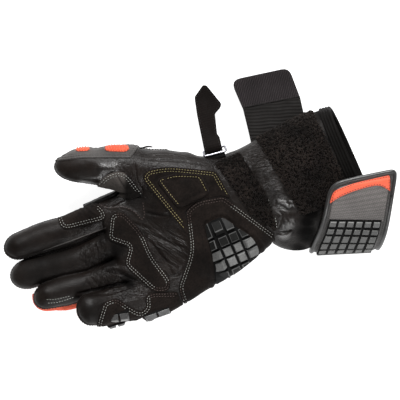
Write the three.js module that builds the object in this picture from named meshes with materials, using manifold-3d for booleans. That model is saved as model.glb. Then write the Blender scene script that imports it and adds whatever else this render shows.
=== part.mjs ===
// Motorcycle glove for the right hand: a gauntlet glove lying on its back, palm up, all closures open.
// Millimetres. +X runs from the fingers to the cuff, +Y to the thumb side, +Z up out of the palm.
// The soft form is a union of lofted limbs. The same limbs, shrunk by the wall, make the hollow, and
// grown by a little they make the pieces that are sewn on, so every piece follows the leather below it.
import * as THREE from "three";
import { mergeVertices } from "three/addons/utils/BufferGeometryUtils.js";
import Module from "manifold-3d";

const wasm = await Module();
wasm.setup();

// Driving dimensions
const WALL = 2.0; // leather and its backing
const GAP = 0.3; // clearance between neighbouring pieces
const PATCH = 1.5; // a sewn-on piece of leather or suede
const PILE = 2.0; // looped closure fabric
const WEBBING = 1.8; // a closure strap or tab
const FLAP = 2.6; // the stiff outer flap
const PIPING = 2.0; // radius of the flap's piping
const WRIST_X = 12; // where the hand ends and the cuff begins
const MOUTH = { x: 104, z: 33 }; // centre of the cuff's open end
const MOUTH_LEAN = THREE.MathUtils.degToRad(7); // the back of the cuff runs out further than its top
const BINDING_LENGTH = 9.5; // stacked bands round the mouth
const EDGE_STRIP = 3; // height of the raised strip along the index finger
const RED_PAD = 2.2;
const RING_BACK = 4; // how far the red panel stands out under the ring finger
const STRIPE = 0.8;
const SLIDER_BASE = 0.9;
const SLIDER_BLOCK = 2.2;
const SLIDER_GROOVE = 1.5;
const FAR = 400; // larger than the glove, for cutting tools
const ORIGIN = { x: -39.7, y: -1.2 }; // centre of the glove's outline, which becomes the origin

// Turns rows of numbers into objects with the named columns.
function table(columns, rows) {
  return rows.map((row) => Object.fromEntries(columns.map((name, i) => [name, row[i]])));
}

// Centre of a section, half width and half height.
const SECTION = ["x", "y", "z", "wide", "high"];

// Palm, wrist and cuff in one run, from the finger roots to the mouth.
const BODY_ROWS = table(SECTION, [
  [-112, -17.5, 15.5, 56.0, 17.0],
  [-90, -17.5, 17.0, 55.5, 18.5],
  [-65, -13.8, 18.5, 55.3, 20.0],
  [-40, -10.8, 20.5, 54.5, 22.0],
  [-18, -12.0, 21.5, 49.5, 23.0],
  [0, -11.5, 22.0, 45.0, 23.5],
  [14, -10.8, 22.5, 42.5, 24.5],
  [35, -13.0, 25.0, 47.0, 27.0],
  [60, -16.3, 27.5, 51.8, 29.5],
  [85, -18.5, 30.5, 53.5, 31.5],
  [104, -20.5, 33.0, 52.5, 31.0],
  [120, -21.5, 34.0, 52.5, 31.5],
]);
const INDEX_ROWS = table(SECTION, [
  [-98, 24.0, 16.5, 13.5, 14.5],
  [-120, 25.5, 16.5, 12.6, 14.0],
  [-147, 25.5, 15.5, 12.8, 13.0],
  [-167, 28.5, 15.5, 13.0, 12.5],
  [-190, 29.8, 17.5, 12.0, 11.5],
]);
const MIDDLE_ROWS = table(SECTION, [
  [-98, -1.0, 16.5, 12.5, 14.5],
  [-121, 0.0, 16.5, 12.4, 14.0],
  [-147, -2.0, 15.5, 12.0, 13.0],
  [-175, 1.8, 15.5, 12.0, 12.3],
  [-194, 4.6, 17.5, 12.6, 11.5],
]);
const RING_ROWS = table(SECTION, [
  [-98, -26.5, 17.0, 12.5, 14.0],
  [-121, -25.5, 17.5, 12.0, 13.5],
  [-147, -24.5, 18.0, 11.6, 12.8],
  [-168, -22.0, 20.0, 12.8, 12.2],
  [-184, -21.0, 22.5, 12.8, 11.6],
]);
const LITTLE_ROWS = table(SECTION, [
  [-92, -51.0, 17.0, 15.0, 14.5],
  [-115, -51.0, 19.5, 14.6, 14.0],
  [-135, -49.5, 24.0, 14.6, 13.5],
  [-148, -47.2, 28.5, 14.3, 12.8],
  [-157, -44.8, 32.5, 13.6, 12.2],
]);
const THUMB_ROWS = table(SECTION, [
  [-38, 30.0, 26.0, 22.0, 19.0],
  [-61, 46.0, 27.0, 20.5, 18.5],
  [-81, 56.5, 28.5, 19.2, 17.0],
  [-97, 64.6, 30.0, 16.6, 15.5],
  [-114, 72.4, 31.5, 14.0, 13.2],
]);
// Folded leather that bulges out on the outer side of the cuff, below the flap.
const GUSSET_ROWS = table(SECTION, [
  [14, -46.0, 18.0, 7.0, 11.0],
  [24, -54.0, 18.5, 11.5, 14.0],
  [36, -58.0, 19.0, 14.0, 15.0],
  [50, -61.0, 19.5, 11.5, 15.0],
  [66, -63.5, 20.0, 8.5, 13.0],
]);

// Each limb: its rows, how square its sections are, the rounding of both ends, its sides and steps.
const LIMBS = {
  body: { rows: BODY_ROWS, square: 2.5, startCap: 8, endCap: 0, sides: 20, steps: 10 },
  index: { rows: INDEX_ROWS, square: 2.1, startCap: 0, endCap: 16, sides: 12, steps: 5 },
  middle: { rows: MIDDLE_ROWS, square: 2.1, startCap: 0, endCap: 16.5, sides: 12, steps: 5 },
  ring: { rows: RING_ROWS, square: 2.1, startCap: 0, endCap: 15.5, sides: 12, steps: 5 },
  little: { rows: LITTLE_ROWS, square: 2.1, startCap: 0, endCap: 12, sides: 12, steps: 5 },
  thumb: { rows: THUMB_ROWS, square: 2.1, startCap: 0, endCap: 24, sides: 12, steps: 5 },
  gusset: { rows: GUSSET_ROWS, square: 2.0, startCap: 4, endCap: 5, sides: 10, steps: 4 },
};
const DIGITS = ["index", "middle", "ring", "little", "thumb"];

// Padded swellings of the palm: centre and half sizes.
const MOUNDS = table(["x", "y", "z", "long", "wide", "high"], [
  [-38, 16, 31, 36, 28, 19.5],
  [-28, -36, 29, 36, 27, 19.0],
]);

// Outlines seen from above, as corners with the radius that rounds each one.
const CORNER = ["x", "y", "round"];
const INDEX_PATCH = table(CORNER, [
  [-151, 41, 4], [-151, 28.5, 4], [-129, 24.5, 8], [-114, 22, 3],
  [-112, 28, 3], [-117, 34.5, 3], [-128.5, 36.8, 1], [-129, 41, 1],
]);
const PALM_CENTRE_PATCH = table(CORNER, [
  [-106, 23, 5], [-98, 21, 4], [-90, -2, 12], [-91, -22, 10], [-83, -50, 5],
  [-88, -57, 5], [-99, -53, 6], [-112, -22, 5], [-101, -9, 4], [-116, 4, 4],
]);
const THENAR_PATCH = table(CORNER, [
  [-69, 41, 4], [-63, 45, 4], [-46, 41, 8], [-10, 21, 3], [-7, -3.5, 1],
  [-13, 1.2, 3], [-34, 5.8, 5], [-48, 1.5, 4], [-52.5, -19, 1],
]);
const THENAR_PAD = table(CORNER, [
  [-58, 35, 4], [-42, 32.5, 5], [-23, 23.5, 4], [-21.5, 9, 3], [-47, 8.5, 4], [-55, 24, 4],
]);
const HEEL_PATCH = table(CORNER, [
  [-46, 0.2, 4], [-34, 3.5, 5], [-12, -1.5, 3], [16, -50, 2], [11, -62, 3],
  [-60, -84, 4], [-80, -74, 4], [-79, -59, 5], [-56, -34, 10], [-50, -14, 8],
]);
const THUMB_WEB_PATCH = table(CORNER, [
  [-108, 51.5, 2], [-97, 55.5, 4], [-86, 54.5, 4], [-80, 48, 4],
  [-75.5, 29, 1], [-86, 29, 1], [-104, 44, 2],
]);
const ULNAR_PATCH = table(CORNER, [
  [-158, -62, 3], [-143, -44.5, 4], [-132, -45, 5], [-125, -57, 5], [-118, -66, 5], [-110.5, -63, 3],
  [-108, -54, 4], [-101, -54, 4], [-82, -62, 2], [-82, -88, 2], [-152, -88, 3],
]);
const WRIST_BAND = table(CORNER, [
  [-6.5, 28, 2], [-3, 12, 10], [4, -25, 2], [19, -47, 2], [23.5, -18, 10], [21, 3, 10], [16, 28, 2],
]);
const CUFF_LOOP_PANEL = table(CORNER, [[34, 45, 1], [43, -42, 3], [90, -46, 3], [88, 45, 1]]);
const THUMB_BACK_PANEL = table(CORNER, [
  [-142, 86, 1], [-134, 85, 2], [-111, 78, 4], [-72, 61, 1], [-58, 70, 1], [-60, 100, 1], [-140, 110, 1],
]);
const INDEX_EDGE_STRIP = table(CORNER, [
  [-127.5, 46, 1], [-127.5, 37.5, 1], [-89, 35.5, 1], [-89, 46, 1],
]);
const EDGE_STRIP_TOP = 24;
const PALM_SLIDER = table(CORNER, [
  [-36, -17, 4], [-20, -16.5, 4], [-2, -46, 5], [-2, -58, 5], [-20, -63, 5], [-49, -70, 2], [-41, -47, 8],
]);
const PALM_SLIDER_COLUMNS = [-31.7, -22, -13];
const PALM_SLIDER_ROWS = [-31.5, -41.5, -50.5, -59.5];
const PALM_SLIDER_FLOOR = 22;
const TAB_ELASTIC = table(CORNER, [
  [28, 24, 1], [31.5, 43, 6], [35, 62.6, 0.5], [85, 51.6, 0.5], [79, 24, 1],
]);
const TAB_HOOK = table(CORNER, [[35, 63, 0.5], [35.3, 89, 9], [86.5, 78.5, 7], [85, 52, 0.5]]);
const FLAP_RED_STRIPE = table(CORNER, [
  [69, -43, 1], [76, -34.5, 4], [94, -34.8, 8], [126, -41, 2],
  [121, -54, 1], [115, -45, 5], [97, -41.5, 8], [80, -41, 5],
]);

const STRIPE_FLOOR = 50;

// The wrist strap leaves its seam at STRAP_SEAM and runs at STRAP_TURN from the Y axis, towards +X.
const STRAP_SEAM = { x: -3, y: 37 };
const STRAP_TURN = THREE.MathUtils.degToRad(9);
const STRAP_OUTLINE = table(["across", "along", "round"], [
  [-9, -9, 0.5], [-6.8, 36, 4], [-5, 52, 2], [4.8, 60.5, 1.2], [8, 59.3, 1.5], [16.4, 40.5, 1.5],
  [15, 37.5, 1.5], [8.6, 33, 1], [6, 15, 1], [7.3, 12.5, 1], [7, -9, 0.5],
]);
const STRAP_PROFILE = table(["along", "z"], [
  [-8, 23.0], [-2, 24.0], [5, 24.0], [13, 22.0], [24, 16.5], [36, 9.5], [47, 4.0], [56, 1.7], [64, 1.2],
]);
const STRAP_REACH = 22; // half the width of the sheet that the strap is cut from
const TAB_REACH = { from: 15, to: 100 }; // along X, the sheet that the tab is cut from
const TAB_PROFILE = table(["along", "z"], [
  [24, 17.0], [36, 15.8], [46, 13.0], [58, 8.6], [69, 4.6], [80, 2.0], [94, 1.2],
]);

// The silver ring is a rectangle that leans out over the strap; a keeper sewn to the wrist holds it.
const RING_LENGTH = 22;
const RING_WIRE = 2.4;
const RING_INNER_BAR = { along: -1.2, z: 34.4 };
const RING_OUTER_BAR = { along: 3.4, z: 30.0 };
const KEEPER_LENGTH = 16.5;
const KEEPER_HEIGHT = 5.2;
const KEEPER_DEPTH = 7.2;
const KEEPER_HOLE_OFFSET = 0.8;

// Left and right edge of the flap's outer face, from its seam under the cuff to its free end.
const EDGES = ["leftX", "leftY", "leftZ", "rightX", "rightY", "rightZ"];
const FLAP_ROWS = table(EDGES, [
  [54.0, -60.0, 6.5, 99.0, -62.0, 6.5],
  [45.0, -69.0, 3.4, 98.0, -79.0, 3.4],
  [39.5, -74.0, 6.5, 96.5, -91.0, 6.5],
  [37.3, -76.0, 14.0, 95.8, -97.8, 14.0],
  [38.2, -75.2, 24.0, 96.6, -97.6, 24.0],
  [43.0, -69.5, 34.0, 100.0, -94.2, 34.0],
  [50.0, -62.5, 47.0, 105.0, -88.0, 44.5],
  [57.5, -53.5, 58.5, 111.5, -78.0, 54.5],
  [64.0, -44.0, 66.0, 118.0, -67.0, 62.5],
  [70.0, -34.5, 70.5, 126.5, -53.0, 68.5],
  [75.0, -26.0, 73.0, 136.5, -37.0, 73.0],
]);
const PIPING_STEPS = 34;
// The piping's route over the flap, as shares of its width and rows of its table.
const PIPING_ROUTE = table(["u", "v"], [
  [0.04, 0.9], [0.04, 2], [0.04, 3.5], [0.04, 5], [0.04, 6.5], [0.04, 8], [0.055, 9.1], [0.12, 9.62],
  [0.24, 9.78], [0.5, 9.8], [0.8, 9.8], [0.93, 9.76], [0.96, 9.5], [0.965, 8.9], [0.965, 7.5], [0.965, 6],
  [0.965, 4.5], [0.965, 3], [0.965, 2], [0.965, 0.9],
]);
const FLAP_EDGES = [0.055, 0.95];
const FLAP_WIDTH = 60; // roughly, across its table
const FLAP_ROW_SPACING = 12; // roughly, from one row of its table to the next
const FLAP_SLIDER = { u: [0.11, 0.87], v: [3.0, 7.1], columns: 6, rows: 5 };

// Studs on the outer edge of the hand: place, lean of the outward direction above the table, size.
const STUDS = table(["name", "x", "y", "z", "lean", "turn", "length", "width"], [
  ["edge_stud_front", -136, -60.0, 33.0, 42, -16, 17, 10],
  ["edge_stud_side", -141, -64.0, 22.0, -8, -8, 15, 9],
  ["edge_stud_rear", -105, -71.0, 22.0, 28, -4, 22, 10],
]);
const STUD_HEIGHT = 2.4;
const STUD_ROOT = 5; // how far a stud is carried down before the leather cuts it off
const STUD_SLOT = 1.6;

// Ribbed pads on the back of the thumb: place, heading of the outward direction, lean and size.
const RED_PADS = table(["name", "x", "y", "z", "heading", "lean", "length", "width"], [
  ["thumb_red_pad_front", -107.5, 84.5, 35.0, 65, 22, 13, 8.5],
  ["thumb_red_pad_rear", -79.5, 73.5, 36.0, 63, 26, 23, 9.5],
]);
const RED_PAD_REACH = 16; // how deep the block is that cuts a pad out of its layer

// Red panel under the tip of the ring finger: how far it runs in X, and its side and height.
const RING_BACK_REACH = { from: -196, to: -164, side: -24, bottom: 2, top: 18 };

const CAP_ANGLES = [38, 70].map((angle) => THREE.MathUtils.degToRad(angle));

// Booleans

function solidOf(geometry) {
  const loose = geometry.index ? geometry.toNonIndexed() : geometry;
  const bare = new THREE.BufferGeometry();
  bare.setAttribute("position", loose.getAttribute("position"));
  const merged = mergeVertices(bare, 1e-4);
  const mesh = new wasm.Mesh({
    numProp: 3,
    vertProperties: new Float32Array(merged.attributes.position.array),
    triVerts: new Uint32Array(merged.index.array),
  });
  return new wasm.Manifold(mesh);
}

function geometryOf(solid) {
  const mesh = solid.getMesh();
  const vertices = new Float32Array(mesh.numVert * 3);
  for (let i = 0; i < mesh.numVert; i++) {
    const at = i * mesh.numProp;
    vertices.set(mesh.vertProperties.subarray(at, at + 3), i * 3);
  }
  const geometry = new THREE.BufferGeometry();
  geometry.setAttribute("position", new THREE.BufferAttribute(vertices, 3));
  geometry.setIndex(new THREE.BufferAttribute(new Uint32Array(mesh.triVerts), 1));
  return geometry;
}

function union(solids) {
  return solids.reduce((sum, solid) => sum.add(solid));
}

// Slivers that a cut leaves behind are dropped, and the largest body stays.
function largest(solid) {
  return solid.decompose().reduce((best, body) => (body.volume() > best.volume() ? body : best));
}

function box(x0, x1, y0, y1, z0, z1) {
  const geometry = new THREE.BoxGeometry(x1 - x0, y1 - y0, z1 - z0);
  geometry.translate((x0 + x1) / 2, (y0 + y1) / 2, (z0 + z1) / 2);
  return solidOf(geometry);
}

function above(z) {
  return box(-FAR, FAR, -FAR, FAR, z, FAR);
}

// The room between two distances from the cuff's mouth, whose plane leans.
function besideMouth(from, to) {
  const geometry = new THREE.BoxGeometry(to - from, 2 * FAR, 2 * FAR);
  geometry.translate((from + to) / 2, 0, 0);
  geometry.rotateY(-MOUTH_LEAN);
  geometry.translate(MOUTH.x, 0, MOUTH.z);
  return solidOf(geometry);
}

// Closed solid from rings of points that all have the same count, and one point that closes each end.
function solidFromRings(rings, startPoint, endPoint) {
  const sides = rings[0].length;
  const points = [startPoint, ...rings.flat(), endPoint];
  const last = points.length - 1;
  const vertex = (ring, side) => 1 + ring * sides + (side % sides);
  const faces = [];
  for (let side = 0; side < sides; side++) {
    faces.push(0, vertex(0, side + 1), vertex(0, side));
    for (let ring = 0; ring + 1 < rings.length; ring++) {
      const corner = vertex(ring, side);
      const across = vertex(ring + 1, side + 1);
      faces.push(corner, vertex(ring, side + 1), across);
      faces.push(corner, across, vertex(ring + 1, side));
    }
    faces.push(last, vertex(rings.length - 1, side), vertex(rings.length - 1, side + 1));
  }
  const geometry = new THREE.BufferGeometry();
  const numbers = points.flatMap((point) => point.toArray());
  geometry.setAttribute("position", new THREE.Float32BufferAttribute(numbers, 3));
  geometry.setIndex(faces);
  return solidOf(geometry);
}

// Lofted limbs

// A column of a table at a place between its rows, on a smooth curve through them.
function between(rows, column, place) {
  const i = Math.max(0, Math.min(Math.floor(place), rows.length - 2));
  const t = place - i;
  const start = rows[i][column];
  const end = rows[i + 1][column];
  const before = i > 0 ? rows[i - 1][column] : 2 * start - end;
  const after = i + 2 < rows.length ? rows[i + 2][column] : 2 * end - start;
  const cubic = 3 * (start - end) + after - before;
  const square = 2 * before - 5 * start + 4 * end - after;
  return start + 0.5 * t * (end - before + t * (square + t * cubic));
}

function pointBetween(rows, place, [x, y, z]) {
  return new THREE.Vector3(between(rows, x, place), between(rows, y, place), between(rows, z, place));
}

// One section: a rounded rectangle square to the limb's direction.
function sectionRing(centre, direction, wide, high, square, sides) {
  const sideways = new THREE.Vector3(0, 0, 1).cross(direction).normalize();
  const upwards = direction.clone().cross(sideways);
  const ring = [];
  for (let k = 0; k < sides; k++) {
    const angle = (2 * Math.PI * (k + 0.5)) / sides;
    const reach = (value) => Math.sign(value) * Math.abs(value) ** (2 / square);
    const point = centre.clone();
    point.addScaledVector(sideways, wide * reach(Math.cos(angle)));
    point.addScaledVector(upwards, high * reach(Math.sin(angle)));
    ring.push(point);
  }
  return ring;
}

// A whole limb, grown or shrunk all round. A shrunk limb runs on past a flat end, so it opens it.
function loft(limb, grow) {
  const { rows, square, startCap, endCap, sides, steps } = limb;
  const stations = [];
  const lastPlace = rows.length - 1;
  for (let step = 0; step <= steps; step++) {
    const place = (lastPlace * step) / steps;
    const ahead = pointBetween(rows, Math.min(place + 0.05, lastPlace), ["x", "y", "z"]);
    const behind = pointBetween(rows, Math.max(place - 0.05, 0), ["x", "y", "z"]);
    stations.push({
      centre: pointBetween(rows, place, ["x", "y", "z"]),
      direction: ahead.sub(behind).normalize(),
      wide: between(rows, "wide", place) + grow,
      high: between(rows, "high", place) + grow,
    });
  }
  const ends = [
    { station: stations[0], sign: -1, cap: startCap },
    { station: stations[steps], sign: 1, cap: endCap },
  ];
  const endPoints = [];
  for (const { station, sign, cap } of ends) {
    const rounded = cap > 0;
    const reach = rounded ? cap + grow : Math.max(0, -2 * grow);
    const along = station.direction.clone().multiplyScalar(sign);
    const added = rounded ? CAP_ANGLES : reach > 0 ? [0] : [];
    for (const angle of added) {
      const extra = {
        centre: station.centre.clone().addScaledVector(along, rounded ? reach * Math.sin(angle) : reach),
        direction: station.direction,
        wide: station.wide * Math.cos(angle),
        high: station.high * Math.cos(angle),
      };
      if (sign < 0) stations.unshift(extra);
      else stations.push(extra);
    }
    endPoints.push(station.centre.clone().addScaledVector(along, reach));
  }
  const rings = stations.map((s) => sectionRing(s.centre, s.direction, s.wide, s.high, square, sides));
  return solidFromRings(rings, endPoints[0], endPoints[1]);
}

function mounds(grow) {
  const shapes = MOUNDS.map((mound) => {
    const geometry = new THREE.SphereGeometry(1, 12, 8);
    geometry.scale(mound.long + grow, mound.wide + grow, mound.high + grow);
    geometry.translate(mound.x, mound.y, mound.z);
    return solidOf(geometry);
  });
  return union(shapes);
}

const grownCache = new Map();

function makeLimb(name, grow) {
  if (name === "mounds") return mounds(grow);
  const shape = loft(LIMBS[name], grow);
  const endsAtMouth = name === "body" && grow >= 0;
  return endsAtMouth ? shape.intersect(besideMouth(-FAR, 0)) : shape;
}

function limb(name, grow) {
  const key = name + grow;
  if (!grownCache.has(key)) grownCache.set(key, makeLimb(name, grow));
  return grownCache.get(key);
}

function limbs(names, grow) {
  return union(names.map((name) => limb(name, grow)));
}

// The whole outer skin, grown by a distance.
function skin(grow) {
  const key = "skin" + grow;
  if (!grownCache.has(key)) {
    grownCache.set(key, limbs(["body", "mounds", "gusset", ...DIGITS], grow));
  }
  return grownCache.get(key);
}

// Pieces laid on the skin

function outlineShape(corners) {
  const shape = new THREE.Shape();
  corners.forEach((corner, i) => {
    const before = corners[(i + corners.length - 1) % corners.length];
    const after = corners[(i + 1) % corners.length];
    const towards = (other) => {
      const length = Math.hypot(other.x - corner.x, other.y - corner.y);
      const part = Math.min(corner.round, length * 0.45) / length;
      return [corner.x + (other.x - corner.x) * part, corner.y + (other.y - corner.y) * part];
    };
    const start = towards(before);
    if (i === 0) shape.moveTo(...start);
    else shape.lineTo(...start);
    shape.quadraticCurveTo(corner.x, corner.y, ...towards(after));
  });
  shape.closePath();
  return shape;
}

// Upright prism over an outline.
function prism(corners, floor = -FAR) {
  const geometry = new THREE.ExtrudeGeometry(outlineShape(corners), {
    depth: FAR - floor,
    bevelEnabled: false,
    curveSegments: 3,
  });
  geometry.translate(0, 0, floor);
  return solidOf(geometry);
}

// The layer of the skin between two distances, inside an outline and above a height.
function patch(corners, low, high, floor) {
  const column = prism(corners, floor);
  return largest(column.intersect(skin(high)).subtract(skin(low)));
}

function lyingBetween(low, thickness) {
  return [low, low + thickness];
}

const ABOVE_PATCH = 2 * GAP + PATCH; // where a piece starts that lies on a patch
const ON_SKIN = lyingBetween(GAP, PATCH);
const ON_PATCH = lyingBetween(ABOVE_PATCH, PATCH);
const PILE_ON_SKIN = lyingBetween(GAP, PILE);

// Shells

function outerForms() {
  const trunk = limbs(["body", "mounds"], 0);
  const hand = trunk.intersect(box(-FAR, WRIST_X - GAP / 2, -FAR, FAR, 0, FAR));
  const cuff = limb("body", 0)
    .add(limb("gusset", 0))
    .intersect(box(WRIST_X + GAP / 2, FAR, -FAR, FAR, 0, FAR));
  return { hand, cuff };
}

function hollowOf(names) {
  return limbs(names, -WALL).intersect(above(WALL));
}

function makeShells() {
  const { hand, cuff } = outerForms();
  const handHollow = hollowOf(["body", "mounds", ...DIGITS]);
  const shells = {
    hand_shell: largest(hand.subtract(handHollow)),
    cuff_shell: largest(cuff.subtract(hollowOf(["body", "gusset"]))),
  };
  const handGrown = limbs(["body", "mounds"], GAP);
  let taken = handGrown;
  for (const name of DIGITS) {
    const shell = limb(name, 0).subtract(hollowOf([name])).intersect(above(0)).subtract(taken);
    shells[name === "thumb" ? "thumb_shell" : name + "_finger"] = largest(shell);
    taken = name === "thumb" ? taken : handGrown.add(limb(name, GAP));
  }
  return shells;
}

// Ruled sheets: straps, tabs and the flap

function sheetPoint(rows, u, v) {
  const left = pointBetween(rows, v, ["leftX", "leftY", "leftZ"]);
  return left.lerp(pointBetween(rows, v, ["rightX", "rightY", "rightZ"]), u);
}

function sheetNormal(rows, u, v) {
  const step = 0.02;
  const ahead = sheetPoint(rows, u, Math.min(v + step, rows.length - 1));
  const along = ahead.sub(sheetPoint(rows, u, Math.max(v - step, 0)));
  const across = sheetPoint(rows, u + step, v).sub(sheetPoint(rows, u - step, v));
  return across.cross(along).normalize();
}

// Solid of the sheet between two distances from its surface, over a range of u and v.
function sheet(rows, { low, high, u = [0, 1], v = [0, rows.length - 1], columns = 3, steps = 8 }) {
  const rings = [];
  for (let step = 0; step <= steps; step++) {
    const place = THREE.MathUtils.lerp(v[0], v[1], step / steps);
    const lower = [];
    const upper = [];
    for (let column = 0; column <= columns; column++) {
      const across = THREE.MathUtils.lerp(u[0], u[1], column / columns);
      const point = sheetPoint(rows, across, place);
      const normal = sheetNormal(rows, across, place);
      lower.unshift(point.clone().addScaledVector(normal, low));
      upper.push(point.clone().addScaledVector(normal, high));
    }
    rings.push([...lower, ...upper]);
  }
  const middleOf = (ring) => {
    const sum = new THREE.Vector3();
    ring.forEach((point) => sum.add(point));
    return sum.multiplyScalar(1 / ring.length);
  };
  return solidFromRings(rings, middleOf(rings[0]), middleOf(rings[steps]));
}

// Closed tube along a route, with an eight-sided section.
function tube(points, radius, steps) {
  const circle = new THREE.Shape();
  circle.absarc(0, 0, radius, 0, 2 * Math.PI);
  const geometry = new THREE.ExtrudeGeometry(circle, {
    steps,
    curveSegments: 4,
    extrudePath: new THREE.CatmullRomCurve3(points),
  });
  return solidOf(geometry);
}

// Sewn-on pieces

// Each piece: its outline, the distances from the skin that it fills, and the height where it ends.
const PATCHES = table(["name", "outline", "layer", "floor"], [
  ["index_patch", INDEX_PATCH, ON_SKIN, 16],
  ["palm_centre_patch", PALM_CENTRE_PATCH, ON_SKIN, 20],
  ["thenar_patch", THENAR_PATCH, ON_SKIN, 24],
  ["thenar_pad", THENAR_PAD, ON_PATCH, 30],
  ["palm_heel_patch", HEEL_PATCH, ON_SKIN, 12],
  ["thumb_web_patch", THUMB_WEB_PATCH, ON_SKIN, 26],
  ["ulnar_patch", ULNAR_PATCH, ON_SKIN, 8],
  ["wrist_loop_band", WRIST_BAND, PILE_ON_SKIN, 26],
  ["cuff_loop_panel", CUFF_LOOP_PANEL, PILE_ON_SKIN, 30],
  ["thumb_back_panel", THUMB_BACK_PANEL, ON_SKIN, 14],
]);

function makeIndexEdgeStrip() {
  const strip = patch(INDEX_EDGE_STRIP, GAP, EDGE_STRIP, 12);
  return largest(strip.subtract(above(EDGE_STRIP_TOP)));
}

function makeCuffBinding() {
  const layer = limb("body", GAP + PILE).subtract(limb("body", GAP));
  return largest(layer.intersect(besideMouth(-BINDING_LENGTH, -GAP)).intersect(above(0)));
}

function makeRingBackPanel() {
  const { from, to, side, bottom, top } = RING_BACK_REACH;
  const layer = limb("ring", RING_BACK).subtract(limb("ring", GAP));
  const reach = box(from, to, -FAR, side, bottom, top);
  return largest(layer.intersect(reach).subtract(limb("little", GAP)));
}

// Block over a shape, centred on the place of its matrix.
function orientedBlock(shape, matrix, depth) {
  const geometry = new THREE.ExtrudeGeometry(shape, { depth, bevelEnabled: false, curveSegments: 4 });
  geometry.translate(0, 0, -depth / 2);
  geometry.applyMatrix4(matrix);
  return solidOf(geometry);
}

// Places a piece so that its Z axis points out of the leather and its X axis lies level.
function outwardMatrix(place, heading, lean) {
  const turn = THREE.MathUtils.degToRad(heading);
  const rise = THREE.MathUtils.degToRad(lean);
  const outward = new THREE.Vector3(
    Math.cos(turn) * Math.cos(rise),
    Math.sin(turn) * Math.cos(rise),
    Math.sin(rise),
  );
  const along = new THREE.Vector3(-Math.sin(turn), Math.cos(turn), 0);
  const matrix = new THREE.Matrix4().makeBasis(along, outward.clone().cross(along), outward);
  return matrix.setPosition(place.x, place.y, place.z);
}

function roundedBar(length, width) {
  const shape = new THREE.Shape();
  const radius = width / 2;
  shape.absarc(length / 2 - radius, 0, radius, -Math.PI / 2, Math.PI / 2);
  shape.absarc(radius - length / 2, 0, radius, Math.PI / 2, (3 * Math.PI) / 2);
  return shape;
}

function makeRedPad(pad) {
  const layer = limb("thumb", ABOVE_PATCH + RED_PAD).subtract(limb("thumb", ABOVE_PATCH));
  const matrix = outwardMatrix(pad, pad.heading, pad.lean);
  return largest(layer.intersect(orientedBlock(roundedBar(pad.length, pad.width), matrix, RED_PAD_REACH)));
}

function makeStud(stud) {
  const top = ABOVE_PATCH + STUD_HEIGHT;
  const height = STUD_HEIGHT + STUD_ROOT;
  const taper = new THREE.CylinderGeometry(0.5, Math.SQRT1_2, height, 4);
  taper.rotateY(Math.PI / 4);
  taper.rotateX(Math.PI / 2);
  taper.scale(stud.length, stud.width, 1);
  taper.translate(0, 0, top - height / 2);
  const slot = new THREE.BoxGeometry(STUD_SLOT, stud.width * 2, 2 * STUD_SLOT);
  slot.translate(0, 0, top);
  const matrix = outwardMatrix(stud, -90 + stud.turn, stud.lean);
  const body = solidOf(taper.applyMatrix4(matrix)).subtract(solidOf(slot.applyMatrix4(matrix)));
  return largest(body.subtract(skin(ABOVE_PATCH)));
}

// A slider is a base layer with square blocks that stand on it, parted by grooves.
function makePalmSlider() {
  const baseTop = ABOVE_PATCH + SLIDER_BASE;
  const slider = patch(PALM_SLIDER, ABOVE_PATCH, baseTop + SLIDER_BLOCK, PALM_SLIDER_FLOOR);
  const half = SLIDER_GROOVE / 2;
  const grooves = [
    ...PALM_SLIDER_COLUMNS.map((x) => box(x - half, x + half, -FAR, FAR, 0, FAR)),
    ...PALM_SLIDER_ROWS.map((y) => box(-FAR, FAR, y - half, y + half, 0, FAR)),
  ];
  return largest(slider.subtract(union(grooves).subtract(skin(baseTop))));
}

// Closures

function edgeRows(profile, place) {
  return table(EDGES, profile.map(({ along, z }) => place(along, z)));
}

function strapPoint(across, along) {
  return {
    x: STRAP_SEAM.x + across * Math.cos(STRAP_TURN) + along * Math.sin(STRAP_TURN),
    y: STRAP_SEAM.y - across * Math.sin(STRAP_TURN) + along * Math.cos(STRAP_TURN),
  };
}

function makeStrap() {
  const rows = edgeRows(STRAP_PROFILE, (along, z) => {
    const left = strapPoint(-STRAP_REACH, along);
    const right = strapPoint(STRAP_REACH, along);
    return [left.x, left.y, z, right.x, right.y, z];
  });
  const ribbon = sheet(rows, { low: -WEBBING / 2, high: WEBBING / 2, columns: 1, steps: 16 });
  const corners = STRAP_OUTLINE.map((corner) => ({
    ...strapPoint(corner.across, corner.along),
    round: corner.round,
  }));
  return largest(ribbon.intersect(prism(corners)).subtract(skin(GAP)));
}

function makeTab(outline) {
  const rows = edgeRows(TAB_PROFILE, (along, z) => [TAB_REACH.from, along, z, TAB_REACH.to, along, z]);
  const ribbon = sheet(rows, { low: -WEBBING / 2, high: WEBBING / 2, columns: 1, steps: 12 });
  return largest(ribbon.intersect(prism(outline)).subtract(skin(GAP)));
}

// Local frame of the ring and its keeper: X across the strap, Y along it, Z up.
function strapFrame(geometry) {
  geometry.rotateZ(-STRAP_TURN);
  geometry.translate(STRAP_SEAM.x, STRAP_SEAM.y, 0);
  return geometry;
}

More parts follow.
